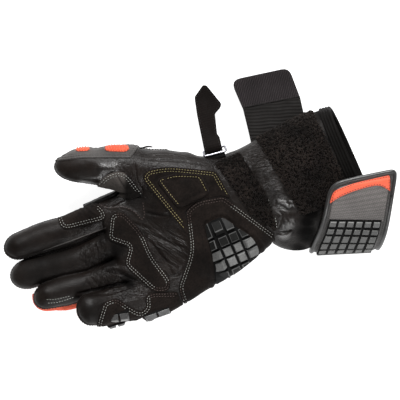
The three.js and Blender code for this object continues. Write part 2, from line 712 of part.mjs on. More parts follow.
function makeStrapRing() {
  const spanAlong = RING_OUTER_BAR.along - RING_INNER_BAR.along;
  const spanUp = RING_OUTER_BAR.z - RING_INNER_BAR.z;
  const depth = Math.hypot(spanAlong, spanUp) + RING_WIRE;
  const frame = (length, width, Type) => {
    const outline = new Type();
    outline.moveTo(-length / 2, -width / 2);
    outline.lineTo(length / 2, -width / 2);
    outline.lineTo(length / 2, width / 2);
    outline.lineTo(-length / 2, width / 2);
    outline.closePath();
    return outline;
  };
  const shape = frame(RING_LENGTH, depth, THREE.Shape);
  shape.holes.push(frame(RING_LENGTH - 2 * RING_WIRE, depth - 2 * RING_WIRE, THREE.Path));
  const geometry = new THREE.ExtrudeGeometry(shape, { depth: RING_WIRE, bevelEnabled: false });
  geometry.translate(0, 0, -RING_WIRE / 2);
  geometry.rotateX(Math.atan2(spanUp, spanAlong));
  geometry.translate(0, RING_INNER_BAR.along + spanAlong / 2, RING_INNER_BAR.z + spanUp / 2);
  return solidOf(strapFrame(geometry));
}

function makeRingKeeper() {
  const loop = roundedBar(KEEPER_DEPTH, KEEPER_HEIGHT);
  const hole = new THREE.Path();
  hole.absarc(KEEPER_HOLE_OFFSET, 0, RING_WIRE * Math.SQRT1_2 + GAP, 0, 2 * Math.PI);
  loop.holes.push(hole);
  const geometry = new THREE.ExtrudeGeometry(loop, {
    depth: KEEPER_LENGTH,
    bevelEnabled: false,
    curveSegments: 4,
  });
  geometry.translate(-KEEPER_HOLE_OFFSET, 0, -KEEPER_LENGTH / 2);
  geometry.rotateX(Math.PI / 2);
  geometry.rotateZ(Math.PI / 2);
  geometry.translate(0, RING_INNER_BAR.along, RING_INNER_BAR.z);
  return largest(solidOf(strapFrame(geometry)).subtract(skin(GAP)));
}

function makePiping(radius) {
  const points = PIPING_ROUTE.map(({ u, v }) => {
    const point = sheetPoint(FLAP_ROWS, u, v);
    return point.addScaledVector(sheetNormal(FLAP_ROWS, u, v), -FLAP / 2);
  });
  return tube(points, radius, PIPING_STEPS);
}

function flapSheet(high) {
  return sheet(FLAP_ROWS, { low: -FLAP, high, u: FLAP_EDGES, columns: 2, steps: 14 });
}

function makeFlap() {
  const body = flapSheet(0);
  const cuffTop = limb("body", 2 * GAP + PILE);
  return largest(body.subtract(makePiping(PIPING + GAP)).subtract(skin(GAP)).subtract(cuffTop));
}

function makeFlapStripe() {
  const reach = { u: FLAP_EDGES, v: [6, FLAP_ROWS.length - 1] };
  const layer = sheet(FLAP_ROWS, { low: 0, high: GAP + STRIPE, ...reach, columns: 2, steps: 6 });
  const inside = layer.intersect(prism(FLAP_RED_STRIPE, STRIPE_FLOOR));
  return largest(inside.subtract(makePiping(PIPING + GAP)).subtract(flapSheet(GAP)));
}

function makeFlapSlider() {
  const { u, v, columns, rows } = FLAP_SLIDER;
  const base = sheet(FLAP_ROWS, { low: 0, high: GAP + SLIDER_BASE, u, v, columns: 1, steps: 5 });
  const cell = { u: (u[1] - u[0]) / columns, v: (v[1] - v[0]) / rows };
  const inset = { u: SLIDER_GROOVE / 2 / FLAP_WIDTH, v: SLIDER_GROOVE / 2 / FLAP_ROW_SPACING };
  const blocks = [base];
  for (let column = 0; column < columns; column++) {
    for (let row = 0; row < rows; row++) {
      const block = sheet(FLAP_ROWS, {
        low: GAP + SLIDER_BASE / 2,
        high: GAP + SLIDER_BASE + SLIDER_BLOCK,
        u: [u[0] + cell.u * column + inset.u, u[0] + cell.u * (column + 1) - inset.u],
        v: [v[0] + cell.v * row + inset.v, v[0] + cell.v * (row + 1) - inset.v],
        columns: 1,
        steps: 1,
      });
      blocks.push(block);
    }
  }
  return largest(union(blocks).subtract(flapSheet(GAP)));
}

// Looks: colour, roughness and metalness

const LEATHER = { color: "#1e1a19", roughness: 0.42, metalness: 0 };
const SUEDE = { color: "#342c2b", roughness: 0.9, metalness: 0 };
const GREY_LEATHER = { color: "#3c3837", roughness: 0.5, metalness: 0 };
const FUZZ = { color: "#231e1c", roughness: 1, metalness: 0 };
const HOOK = { color: "#3a3234", roughness: 0.85, metalness: 0 };
const ELASTIC = { color: "#262423", roughness: 0.8, metalness: 0 };
const RED = { color: "#eb553c", roughness: 0.55, metalness: 0 };
const GRID_GREY = { color: "#6e7070", roughness: 0.35, metalness: 0 };
const FLAP_GREY = { color: "#64605f", roughness: 0.6, metalness: 0 };
const SILVER = { color: "#c4c4ca", roughness: 0.25, metalness: 1 };

const LOOKS = {
  index_patch: SUEDE, palm_centre_patch: SUEDE, thenar_patch: SUEDE, thenar_pad: SUEDE,
  palm_heel_patch: SUEDE, thumb_web_patch: SUEDE, ulnar_patch: SUEDE,
  wrist_loop_band: FUZZ, cuff_loop_panel: FUZZ, thumb_back_panel: GREY_LEATHER,
  ring_back_panel: RED, thumb_red_pad_front: RED, thumb_red_pad_rear: RED, flap_red_stripe: RED,
  palm_slider: GRID_GREY, flap_slider: GRID_GREY,
  edge_stud_front: GRID_GREY, edge_stud_side: GRID_GREY, edge_stud_rear: GRID_GREY,
  wrist_strap: HOOK, tab_hook_patch: HOOK, tab_elastic: ELASTIC,
  strap_ring: SILVER, outer_flap: FLAP_GREY,
};

// Assembly

const solids = {
  ...makeShells(),
  cuff_binding: makeCuffBinding(),
  index_edge_strip: makeIndexEdgeStrip(),
  ring_back_panel: makeRingBackPanel(),
  palm_slider: makePalmSlider(),
  wrist_strap: makeStrap(),
  strap_ring: makeStrapRing(),
  ring_keeper: makeRingKeeper(),
  tab_elastic: makeTab(TAB_ELASTIC),
  tab_hook_patch: makeTab(TAB_HOOK),
  outer_flap: makeFlap(),
  flap_piping: makePiping(PIPING),
  flap_red_stripe: makeFlapStripe(),
  flap_slider: makeFlapSlider(),
};
for (const { name, outline, layer, floor } of PATCHES) solids[name] = patch(outline, ...layer, floor);
for (const pad of RED_PADS) solids[pad.name] = makeRedPad(pad);
for (const stud of STUDS) solids[stud.name] = makeStud(stud);

const glove = new THREE.Group();
for (const [name, solid] of Object.entries(solids)) {
  const material = new THREE.MeshStandardMaterial(LOOKS[name] ?? LEATHER);
  const mesh = new THREE.Mesh(geometryOf(solid), material);
  mesh.name = name;
  glove.add(mesh);
}
glove.position.set(-ORIGIN.x, -ORIGIN.y, 0);

export default glove;
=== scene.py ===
import math

import bpy
import numpy as np
from mathutils import Matrix, Vector, noise
from mathutils.bvhtree import BVHTree


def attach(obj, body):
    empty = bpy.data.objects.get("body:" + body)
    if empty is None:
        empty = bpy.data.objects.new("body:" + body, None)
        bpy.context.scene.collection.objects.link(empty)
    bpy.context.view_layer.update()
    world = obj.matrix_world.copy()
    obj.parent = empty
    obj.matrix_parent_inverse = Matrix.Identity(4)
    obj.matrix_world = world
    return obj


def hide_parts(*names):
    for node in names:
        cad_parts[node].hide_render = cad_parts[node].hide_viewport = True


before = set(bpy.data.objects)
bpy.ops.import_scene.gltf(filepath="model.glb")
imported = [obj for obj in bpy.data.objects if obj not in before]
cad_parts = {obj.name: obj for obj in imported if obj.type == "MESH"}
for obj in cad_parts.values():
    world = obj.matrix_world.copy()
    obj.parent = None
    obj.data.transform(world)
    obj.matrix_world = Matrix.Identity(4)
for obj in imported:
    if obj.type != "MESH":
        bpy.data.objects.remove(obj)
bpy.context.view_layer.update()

SHIFT = np.array([39.7, 1.2, 0.0])  # from the hand's frame to the part's frame
WALL = 2.0  # thickness of the leather form
PATCH = 1.5  # thickness of what is sewn on
FAR = 60.0  # a distance larger than any that matters near the skin
ABOVE = 120.0  # a height above the whole glove
WRIST_X = 12.0
WRIST_GAP = 0.1  # how far hand and cuff each stay from the seam between them
MOUTH = np.array([104.0, 0.0, 33.0])
MOUTH_LEAN = math.radians(7)
MOUTH_AXIS = np.array([math.cos(MOUTH_LEAN), 0, math.sin(MOUTH_LEAN)])
# Grid steps of the skin and the lining, and of the grid in which hidden undersides are merged.
SKIN_STEP = 1.1
LINING_STEP = 2.3
HIDDEN_CELL = 2.4

# Sections of the soft form: centre x, y, z, half width and half height.
BODY_ROWS = [
    (-112, -17.5, 15.5, 56.0, 17.0), (-90, -17.5, 17.0, 55.5, 18.5), (-65, -13.8, 18.5, 55.3, 20.0),
    (-40, -10.8, 20.5, 54.5, 22.0), (-18, -12.0, 21.5, 49.5, 23.0), (0, -11.5, 22.0, 45.0, 23.5),
    (14, -10.8, 22.5, 42.5, 24.5), (35, -13.0, 25.0, 47.0, 27.0), (60, -16.3, 27.5, 51.8, 29.5),
    (85, -18.5, 30.5, 53.5, 31.5), (104, -20.5, 33.0, 52.5, 31.0), (120, -21.5, 34.0, 52.5, 31.5),
]
INDEX_ROWS = [
    (-98, 24.0, 16.5, 13.5, 14.5), (-120, 25.5, 16.5, 12.6, 14.0), (-147, 25.5, 15.5, 12.8, 13.0),
    (-167, 28.5, 15.5, 13.0, 12.5), (-190, 29.8, 17.5, 12.0, 11.5),
]
MIDDLE_ROWS = [
    (-98, -1.0, 16.5, 12.5, 14.5), (-121, 0.0, 16.5, 12.4, 14.0), (-147, -2.0, 15.5, 12.0, 13.0),
    (-175, 1.8, 15.5, 12.0, 12.3), (-194, 4.6, 17.5, 12.6, 11.5),
]
RING_ROWS = [
    (-98, -26.5, 17.0, 12.5, 14.0), (-121, -25.5, 17.5, 12.0, 13.5), (-147, -24.5, 18.0, 11.6, 12.8),
    (-168, -22.0, 20.0, 12.8, 12.2), (-184, -21.0, 22.5, 12.8, 11.6),
]
LITTLE_ROWS = [
    (-92, -51.0, 17.0, 15.0, 14.5), (-115, -51.0, 19.5, 14.6, 14.0), (-135, -49.5, 24.0, 14.6, 13.5),
    (-148, -47.2, 28.5, 14.3, 12.8), (-157, -44.8, 32.5, 13.6, 12.2),
]
THUMB_ROWS = [
    (-38, 30.0, 26.0, 22.0, 19.0), (-61, 46.0, 27.0, 20.5, 18.5), (-81, 56.5, 28.5, 19.2, 17.0),
    (-97, 64.6, 30.0, 16.6, 15.5), (-114, 72.4, 31.5, 14.0, 13.2),
]
GUSSET_ROWS = [
    (14, -46.0, 18.0, 7.0, 11.0), (24, -54.0, 18.5, 11.5, 14.0), (36, -58.0, 19.0, 14.0, 15.0),
    (50, -61.0, 19.5, 11.5, 15.0), (66, -63.5, 20.0, 8.5, 13.0),
]
FOURCHETTE_ROWS = [
    (-110, 12.2, 12.0, 3.2, 9.0), (-126, 12.0, 12.0, 3.4, 9.0), (-150, 11.9, 11.0, 3.8, 8.5),
    (-164, 13.4, 11.0, 3.6, 7.5), (-174, 15.6, 11.5, 3.6, 6.5), (-184, 18.0, 12.5, 3.2, 6.0),
]
# Each limb: its rows, how square its sections are, and the rounding of both ends.
LIMBS = {
    "fourchette": (FOURCHETTE_ROWS, 2.0, 4, 4),
    "body": (BODY_ROWS, 2.5, 8, 30),
    "index": (INDEX_ROWS, 2.1, 8, 16),
    "middle": (MIDDLE_ROWS, 2.1, 8, 16.5),
    "ring": (RING_ROWS, 2.1, 8, 15.5),
    "little": (LITTLE_ROWS, 2.1, 8, 12),
    "thumb": (THUMB_ROWS, 2.1, 10, 24),
    "gusset": (GUSSET_ROWS, 2.0, 4, 5),
}
# Padded swellings of the palm: centre and half sizes.
MOUNDS = [((-38, 16, 31), (36, 28, 19.5)), ((-28, -36, 29), (36, 27, 19.0))]

# Outlines seen from above, as corners with the radius that rounds each one.
INDEX_PATCH = [
    (-151, 41, 4), (-151.5, 28, 8), (-129, 24.5, 8), (-113.5, 21.8, 6),
    (-111.5, 28, 6), (-115.5, 37.5, 6), (-128, 37.6, 1), (-128.5, 41, 1),
]
PALM_CENTRE_PATCH = [
    (-107, 23.5, 5), (-97, 20.5, 4), (-88.5, -2.5, 12), (-89.5, -23, 10), (-83, -50, 5),
    (-88, -57, 5), (-99.5, -53, 6), (-113.5, -21.5, 5), (-103, -8.5, 4), (-117.5, 4.5, 4),
]
THENAR_PATCH = [
    (-69, 41, 4), (-63, 45, 4), (-46, 41, 8), (-10, 21, 3), (-7, -3.5, 1),
    (-13, 1.2, 3), (-34, 5.8, 5), (-48, 1.5, 4), (-52.5, -19, 1),
]
THENAR_PAD = [(-58, 35, 4), (-42, 32.5, 5), (-23, 23.5, 4), (-22, 7, 3), (-50.5, 5.5, 4), (-55.5, 24, 4)]
HEEL_PATCH = [
    (-46, 0.2, 4), (-34, 3.5, 5), (-12, -1.5, 3), (16, -50, 2), (11, -62, 3),
    (-60, -84, 4), (-80, -74, 4), (-79, -59, 5), (-56, -34, 10), (-50, -14, 8),
]
THUMB_WEB_PATCH = [
    (-108, 51.5, 2), (-97, 55.5, 4), (-86, 54.5, 4), (-80, 48, 4),
    (-75.5, 29, 1), (-86, 29, 1), (-104, 44, 2),
]
ULNAR_PATCH = [
    (-158, -62, 3), (-143, -44.5, 4), (-132, -45, 5), (-125, -57, 5), (-118, -66, 5), (-110.5, -63, 3),
    (-108, -54, 4), (-101, -54, 4), (-82, -62, 2), (-82, -88, 2), (-152, -88, 3),
]
WRIST_BAND = [
    (-6.5, 28, 2), (-3, 12, 10), (4, -25, 2), (19, -47, 2), (23.5, -18, 10), (21, 3, 10), (16, 28, 2),
]
CUFF_LOOP_PANEL = [(34, 45, 1), (43, -42, 3), (90, -46, 3), (88, 45, 1)]
THUMB_BACK_PANEL = [
    (-142, 86, 1), (-134, 85, 2), (-111, 78, 4), (-72, 61, 1), (-58, 70, 1), (-60, 100, 1), (-140, 110, 1),
]
INDEX_EDGE_STRIP = [(-127.5, 46, 1), (-127.5, 37.5, 1), (-89, 35.5, 1), (-89, 46, 1)]
EDGE_STRIP_TOP = 24
RING_BACK_PANEL = [
    (-206, -44, 1), (-164, -44, 1), (-164, -24, 1), (-190, -24, 1), (-195, -14, 1), (-206, -14, 1),
]
RING_PANEL_TOP = 18.5
PALM_SLIDER = [
    (-36, -17, 4), (-20, -16.5, 4), (-2, -46, 5), (-2, -58, 5), (-20, -63, 5), (-49, -70, 2), (-41, -47, 8),
]

PALM_SLIDER_COLUMNS = [-31.7, -22, -13]
PALM_SLIDER_ROWS = [-31.5, -41.5, -50.5, -59.5]
SLIDER_GROOVE = 1.9
SLIDER_HIGHLIGHT_ROWS = (-58, -43)  # the palm slider's blocks between these get a painted highlight, a lighter and glossier copy of its grey
FLAP_GROOVE = 2.2
FLAP_BLOCK_HEIGHT = 1.5
STRAP_SEAM = np.array([-3.0, 37.0])
STRAP_TURN = math.radians(9)
# Places on the strap: across it and along it.
STRAP_OUTLINE = [
    (-9, -4, 0.5), (-6.8, 36, 4), (-5, 52, 2), (4.8, 60.5, 1.2), (8, 59.3, 1.5), (16.4, 40.5, 1.5),
    (15, 37.5, 1.5), (8.6, 33, 1), (6, 15, 1), (7.3, 12.5, 1), (7, -4, 0.5),
]
# Heights of the strap: place along it and height.
STRAP_PROFILE = [
    (-6, 24.5), (-3, 27.0), (0, 30.4), (3, 32.2), (6, 31.4), (10, 27.4), (16, 21.0), (24, 16.0), (36, 9.5),
    (47, 4.0), (56, 1.9), (64, 1.3),
]
TAB_ELASTIC = [(29, 30, 1), (31.5, 43, 6), (35.3, 63.9, 0.5), (85.3, 52.9, 0.5), (80, 28, 1)]
TAB_HOOK = [(35, 63, 0.5), (35.2, 90.2, 9), (86.8, 79.8, 7), (85, 52, 0.5)]
# Heights of the tab: its Y in plan and height.
TAB_PROFILE = [(24, 17.0), (36, 15.8), (46, 13.0), (58, 8.6), (69, 4.6), (80, 2.1), (94, 1.3)]
WEBBING_THICKNESS = 1.8
RING_LENGTH = 22
RING_WIRE = 1.9
RING_INNER_BAR = (-1.2, 34.4)  # along the strap, and up
RING_OUTER_BAR = (3.4, 30.0)
KEEPER_LENGTH = 16.5
KEEPER_HEIGHT = 4.0
KEEPER_DEPTH = 5.6
KEEPER_PLACE = (-3.6, 32.0)

# Left and right edge of the flap's outer face, from its seam under the cuff to its free end.
FLAP_ROWS = [
    (54.0, -60.0, 6.5, 99.0, -62.0, 6.5), (45.0, -69.0, 3.4, 98.0, -79.0, 3.4),
    (39.5, -74.0, 6.5, 96.5, -91.0, 6.5), (37.3, -76.0, 14.0, 95.8, -97.8, 14.0),
    (38.2, -75.2, 24.0, 96.6, -97.6, 24.0), (43.0, -69.5, 34.0, 100.0, -94.2, 34.0),
    (50.0, -62.5, 47.0, 105.0, -88.0, 44.5), (57.5, -53.5, 58.5, 111.5, -78.0, 54.5),
    (64.0, -44.0, 66.0, 118.0, -67.0, 62.5), (70.0, -34.5, 70.5, 126.5, -53.0, 68.5),
    (75.0, -26.0, 73.0, 136.5, -37.0, 73.0),
]
FLAP = 2.6
PIPING = 2.0
PIPING_ROUTE = [
    (0.04, 0.9), (0.04, 2), (0.04, 3.5), (0.04, 5), (0.04, 6.5), (0.04, 8), (0.055, 9.1), (0.12, 9.62),
    (0.24, 9.78), (0.5, 9.8), (0.8, 9.8), (0.93, 9.76), (0.96, 9.5), (0.965, 8.9), (0.965, 7.5), (0.965, 6),
    (0.965, 4.5), (0.965, 3), (0.965, 2), (0.965, 0.9),
]
FLAP_RED_STRIPE = [
    (69, -43, 1), (76, -34.5, 4), (94, -34.8, 8), (126, -41, 2),
    (121, -54, 1), (115, -45, 5), (97, -41.5, 8), (80, -41, 5),
]
STRIPE_FLOOR = 50
FLAP_SLIDER_U = (0.11, 0.87)
FLAP_SLIDER_ROWS = [3.0, 3.75, 4.5, 5.25, 6.0, 6.55, 7.1]
FLAP_SLIDER_COLUMNS = 6

# Studs on the outer edge of the hand: place, lean of the outward direction, turn, length and width.
STUDS = [
    ("edge_stud_front", (-136, -60.0, 33.0), 42, -16, 17, 10),
    ("edge_stud_side", (-141, -64.0, 22.0), -8, -8, 15, 9),
    ("edge_stud_rear", (-105, -71.0, 22.0), 28, -4, 22, 10),
]
# Ribbed pads on the back of the thumb: place, heading of the outward direction, lean and size.
RED_PADS = [
    ("thumb_red_pad_front", (-108, 83.3, 35.6), 65, 22, 12, 7.5),
    ("thumb_red_pad_rear", (-80.5, 72.3, 37.0), 63, 26, 21, 9.0),
]

report = []  # what is built, for the log


# Fields: the soft form as a distance to its surface, below zero inside

FIELD_MARGIN = 14  # how far round a form its distance is worked out
# How near two forms come before they run together.
MOUND_BLEND = 9
FINGER_BLEND = 0.8
FOURCHETTE_BLEND = 1.2
KNUCKLE_BLEND = 4
THUMB_BLEND = 9
GUSSET_BLEND = 5


def curve_rows(rows, places):
    """Rows of a table at places between them, on a smooth curve through them."""
    rows = np.asarray(rows, float)
    places = np.asarray(places, float)
    i = np.clip(np.floor(places).astype(int), 0, len(rows) - 2)
    t = (places - i)[:, None]
    longer = np.vstack([2 * rows[0] - rows[1], rows, 2 * rows[-1] - rows[-2]])
    before, start, end, after = (longer[i + k] for k in range(4))
    cubic = 3 * (start - end) + after - before
    square = 2 * before - 5 * start + 4 * end - after
    return start + 0.5 * t * (end - before + t * (square + t * cubic))


def unit(vectors):
    return vectors / np.maximum(np.linalg.norm(vectors, axis=-1, keepdims=True), 1e-9)


def bell(values, middle, width):
    """From 1 at the middle down to 0 a few widths away from it."""
    return np.exp(-(((values - middle) / width) ** 2))


def arc_lengths(path):
    """The length along a path up to each of its points."""
    return np.concatenate([[0], np.cumsum(np.linalg.norm(np.diff(path, axis=0), axis=1))])


def at_lengths(rows, arc, places):
    """Rows of a table at other lengths than its own, which arc holds."""
    return np.stack([np.interp(places, arc, column) for column in rows.T], 1)


def limb_line(limb, count=129):
    """Centre, direction and half sizes at even steps along a limb, and its length."""
    rows = LIMBS[limb][0]
    table = curve_rows(rows, np.linspace(0, len(rows) - 1, 200))
    arc = arc_lengths(table[:, :3])
    table = at_lengths(table, arc, np.linspace(0, arc[-1], count))
    direction = unit(np.gradient(table[:, :3], axis=0))
    return np.hstack([table[:, :3], direction, table[:, 3:]]), arc[-1]


def limb_distance(points, limb):
    """Distance from points to a limb's skin, nearly true near the skin."""
    _, square, start_cap, end_cap = LIMBS[limb]
    line, length = limb_line(limb)
    chord = line[-1, :3] - line[0, :3]
    place = (points - line[0, :3]) @ chord / (chord @ chord) * length
    for _ in range(3):
        held = np.clip(place, 0, length)
        at = held / length * (len(line) - 1)
        i = np.minimum(at.astype(int), len(line) - 2)
        share = (at - i)[:, None]
        row = line[i] * (1 - share) + line[i + 1] * share
        offset = points - row[:, :3]
        place = held + np.einsum("ij,ij->i", offset, row[:, 3:6])
    over = place - np.clip(place, 0, length)
    direction = row[:, 3:6]
    side = unit(np.stack([-direction[:, 1], direction[:, 0], np.zeros(len(row))], 1))
    up = np.cross(direction, side)
    wide, high = row[:, 6], row[:, 7]
    v = np.abs(np.einsum("ij,ij->i", offset, side)) / wide
    w = np.abs(np.einsum("ij,ij->i", offset, up)) / high
    q = np.maximum((v ** square + w ** square) ** (1 / square), 1e-3)
    slope = np.sqrt((v ** (square - 1) / wide) ** 2 + (w ** (square - 1) / high) ** 2) * q ** (1 - square)
    cap = np.where(over < 0, start_cap, end_cap)
    end = over / cap
    total = np.sqrt(q * q + end * end)
    gradient = np.sqrt((q * slope) ** 2 + (end / cap) ** 2) / total
    return (total - 1) / np.maximum(gradient, 1e-3)


def field_of(axes, low, high, distance):
    """A distance worked out on the part of a grid inside a box, and far away outside it."""
    field = np.full([len(axis) for axis in axes], FAR)
    window = tuple(
        slice(np.searchsorted(axis, a), np.searchsorted(axis, b)) for axis, a, b in zip(axes, low, high)
    )
    picked = [axis[part] for axis, part in zip(axes, window)]
    points = np.stack(np.meshgrid(*picked, indexing="ij"), -1).reshape(-1, 3)
    if len(points):
        field[window] = distance(points).reshape([len(axis) for axis in picked])
    return field


def limb_field(axes, limb):
    line, _ = limb_line(limb)
    reach = np.maximum(line[:, 6], line[:, 7])[:, None] + FIELD_MARGIN
    cap = max(LIMBS[limb][2:]) if limb != "body" else 0
    low = (line[:, :3] - reach).min(0) - [cap * 0.7, 0, 0]
    high = (line[:, :3] + reach).max(0)
    return field_of(axes, low, high, lambda points: limb_distance(points, limb))


def mound_field(axes, mound):
    centre, half = np.array(mound, float)

    def distance(points):
        offset = points - centre
        q = np.maximum(np.linalg.norm(offset / half, axis=1), 1e-3)
        return (q - 1) * q / np.maximum(np.linalg.norm(offset / half ** 2, axis=1), 1e-6)

    reach = half + FIELD_MARGIN
    return field_of(axes, centre - reach, centre + reach, distance)


def smooth_min(a, b, reach):
    near = np.maximum(reach - np.abs(a - b), 0) / reach
    return np.minimum(a, b) - near * near * reach / 4


def hand_field(axes):
    palm = limb_field(axes, "body")
    for mound in MOUNDS:
        palm = smooth_min(palm, mound_field(axes, mound), MOUND_BLEND)
    fingers = limb_field(axes, "index")
    for limb in ("middle", "ring", "little"):
        fingers = smooth_min(fingers, limb_field(axes, limb), FINGER_BLEND)
    fingers = smooth_min(fingers, limb_field(axes, "fourchette"), FOURCHETTE_BLEND)
    return smooth_min(smooth_min(palm, fingers, KNUCKLE_BLEND), limb_field(axes, "thumb"), THUMB_BLEND)


def cuff_field(axes):
    return smooth_min(limb_field(axes, "body"), limb_field(axes, "gusset"), GUSSET_BLEND)


# Meshes in numbers: points and triangles

def surface_nets(field, axes):
    """Triangles round the zero surface of a field on a grid."""
    size = np.array(field.shape)
    cells = size - 1
    total = np.zeros((int(cells.prod()), 3))
    count = np.zeros(int(cells.prod()))
    quads = []
    for axis in range(3):
        one, two = (axis + 1) % 3, (axis + 2) % 3
        lower = np.take(field, range(size[axis] - 1), axis)
        upper = np.take(field, range(1, size[axis]), axis)
        at = np.argwhere((lower < 0) != (upper < 0))
        at = at[(at[:, one] > 0) & (at[:, one] < size[one] - 1)]
        at = at[(at[:, two] > 0) & (at[:, two] < size[two] - 1)]
        start, end = lower[tuple(at.T)], upper[tuple(at.T)]
        point = at.astype(float)
        point[:, axis] += start / (start - end)
        ring = []
        for back_one, back_two in ((1, 1), (0, 1), (0, 0), (1, 0)):
            cell = at.copy()
            cell[:, one] -= back_one
            cell[:, two] -= back_two
            key = np.ravel_multi_index(tuple(cell.T), cells)
            ring.append(key)
            for k in range(3):
                total[:, k] += np.bincount(key, point[:, k], len(total))
            count += np.bincount(key, minlength=len(count))
        ring = np.stack(ring, 1)
        ring[start > 0] = ring[start > 0][:, ::-1]
        quads.append(ring)
    quads = np.concatenate(quads)
    used, index = np.unique(quads, return_inverse=True)
    quads = index.reshape(quads.shape)
    points = total[used] / count[used][:, None]
    step = np.array([axis[1] - axis[0] for axis in axes])
    points = points * step + np.array([axis[0] for axis in axes])
    tris = np.concatenate([quads[:, [0, 1, 2]], quads[:, [0, 2, 3]]])
    return points, tris


def vertex_normals(points, tris):
    a, b, c = (points[tris[:, k]] for k in range(3))
    face = np.cross(b - a, c - a)
    normals = np.zeros_like(points)
    for k in range(3):
        for axis in range(3):
            normals[:, axis] += np.bincount(tris[:, k], face[:, axis], len(points))
    return unit(normals)


def with_normals(points, tris):
    """A mesh as the functions below hand it on: points with their normals, and triangles."""
    return np.hstack([points, vertex_normals(points, tris)]), tris


def all_edges(tris):
    return np.concatenate([tris[:, [0, 1]], tris[:, [1, 2]], tris[:, [2, 0]]])


def relax(points, tris, passes):
    """Evens a mesh out by moving each point half way to the middle of its neighbours."""
    a, b = all_edges(tris).T
    count = np.bincount(a, minlength=len(points)) + np.bincount(b, minlength=len(points))
    count = np.maximum(count, 1)
    for _ in range(passes):
        sums = [
            np.bincount(a, points[b, k], len(points)) + np.bincount(b, points[a, k], len(points))
            for k in range(3)
        ]
        points = (points + np.stack(sums, 1) / count[:, None]) / 2
    return points


def compact(data, tris):
    used, index = np.unique(tris, return_inverse=True)
    return data[used], index.reshape(tris.shape)


def clip(data, tris, value):
    """The part of a mesh where value is below zero, cut exactly where it is zero."""
    inside = value[tris] < 0
    count = inside.sum(1)
    kept = [tris[count == 3]]
    pairs, builders = [], []
    for wanted, odd in ((1, np.argmax), (2, np.argmin)):
        some = tris[count == wanted]
        first = odd(inside[count == wanted], axis=1)
        rows = np.arange(len(some))
        a, b, c = (some[rows, (first + k) % 3] for k in range(3))
        pairs.append(np.concatenate([np.stack([a, b], 1), np.stack([a, c], 1)]))
        builders.append((wanted, a, b, c))
    joined = np.sort(np.concatenate(pairs), axis=1)
    edges, index = np.unique(joined, axis=0, return_inverse=True)
    index = index.reshape(-1) + len(data)
    place = 0
    for wanted, a, b, c in builders:
        ab = index[place:place + len(a)]
        ac = index[place + len(a):place + 2 * len(a)]
        place += 2 * len(a)
        if wanted == 1:
            kept.append(np.stack([a, ab, ac], 1))
        else:
            kept.append(np.stack([ab, b, c], 1))
            kept.append(np.stack([ab, c, ac], 1))
    start, end = value[edges[:, 0]], value[edges[:, 1]]
    share = (start / (start - end))[:, None]
    cut = data[edges[:, 0]] * (1 - share) + data[edges[:, 1]] * share
    return compact(np.vstack([data, cut]), np.concatenate(kept))


def subdivide(data, tris):
    edges, index = np.unique(np.sort(all_edges(tris), axis=1), axis=0, return_inverse=True)
    middle = index.reshape(3, -1).T + len(data)
    ab, bc, ca = middle.T
    a, b, c = tris.T
    added = (data[edges[:, 0]] + data[edges[:, 1]]) / 2
    pieces = [(a, ab, ca), (ab, b, bc), (ca, bc, c), (ab, bc, ca)]
    return np.vstack([data, added]), np.concatenate([np.stack(piece, 1) for piece in pieces])


def border_edges(tris):
    """Edges that only one triangle has, in that triangle's direction."""
    edges = all_edges(tris)
    count = tris.max() + 1
    return edges[~np.isin(edges[:, 0] * count + edges[:, 1], edges[:, 1] * count + edges[:, 0])]


def coarsen(points, tris, kept, cell):
    """Merges the points that share a grid cell, but for those kept; the numbers of the merged points."""
    cells = np.floor(points / cell).astype(int)
    own = np.zeros(len(points), int)
    own[kept] = kept + 1
    _, merged = np.unique(np.column_stack([cells, own]), axis=0, return_inverse=True)
    merged = merged.ravel()
    total = np.zeros((merged.max() + 1, 3))
    np.add.at(total, merged, points)
    tris = merged[tris]
    tris = tris[(tris != np.roll(tris, 1, axis=1)).all(1)]
    _, first, times = np.unique(np.sort(tris, axis=1), axis=0, return_index=True, return_counts=True)
    return total / np.bincount(merged)[:, None], tris[first[times == 1]], merged


def slab(points, normals, tris, upper, lower, cell=None):
    """Closed body between two distances from a surface, with a coarser lower side if a cell size is given."""
    count = len(points)
    top = points + normals * np.reshape(upper, (-1, 1))
    bottom = points + normals * np.reshape(lower, (-1, 1))
    a, b = border_edges(tris).T
    below, merged = tris[:, ::-1], np.arange(count)
    if cell is not None:
        bottom, below, merged = coarsen(bottom, below, a, cell)
    under_a, under_b = merged[a] + count, merged[b] + count
    walls = [np.stack([b, a, under_a], 1), np.stack([b, under_a, under_b], 1)]
    return np.vstack([top, bottom]), np.concatenate([tris, below + count, *walls])


def cut_row(data, tris, plane):
    """The points of a mesh's border where a plane cut it."""
    border = np.unique(border_edges(tris))
    return border[np.abs(plane(data[border])) < 1e-4]


def bridge(data, one, two, forward):
    """Triangles between two closed rows of points, taken in the order of their angles."""
    middle = data[one, 1:3].mean(0)
    rows, angles = [], []
    for row in (one, two):
        angle = np.arctan2(*(data[row, 1:3] - middle).T[::-1])
        rows.append(row[np.argsort(angle)])
        # Two values beyond every angle stand for the way back to the first point, and for the end.
        angles.append(np.append(np.sort(angle), [4, 9]))
    one, two = rows
    i = j = 0
    tris = []
    while i < len(one) or j < len(two):
        a, b = one[i % len(one)], two[j % len(two)]
        if angles[0][i + 1] <= angles[1][j + 1]:
            i += 1
            tris.append((a, one[i % len(one)], b))
        else:
            j += 1
            tris.append((a, two[j % len(two)], b))
    tris = np.array(tris)
    return tris if forward else tris[:, ::-1]


def grid_triangles(columns, lines):
    """Triangles of a grid of points that are listed column by column."""
    index = np.arange(columns * lines).reshape(columns, lines)
    a, b = index[:-1, :-1].ravel(), index[1:, :-1].ravel()
    c, d = index[1:, 1:].ravel(), index[:-1, 1:].ravel()
    return np.concatenate([np.stack([a, b, c], 1), np.stack([a, c, d], 1)])


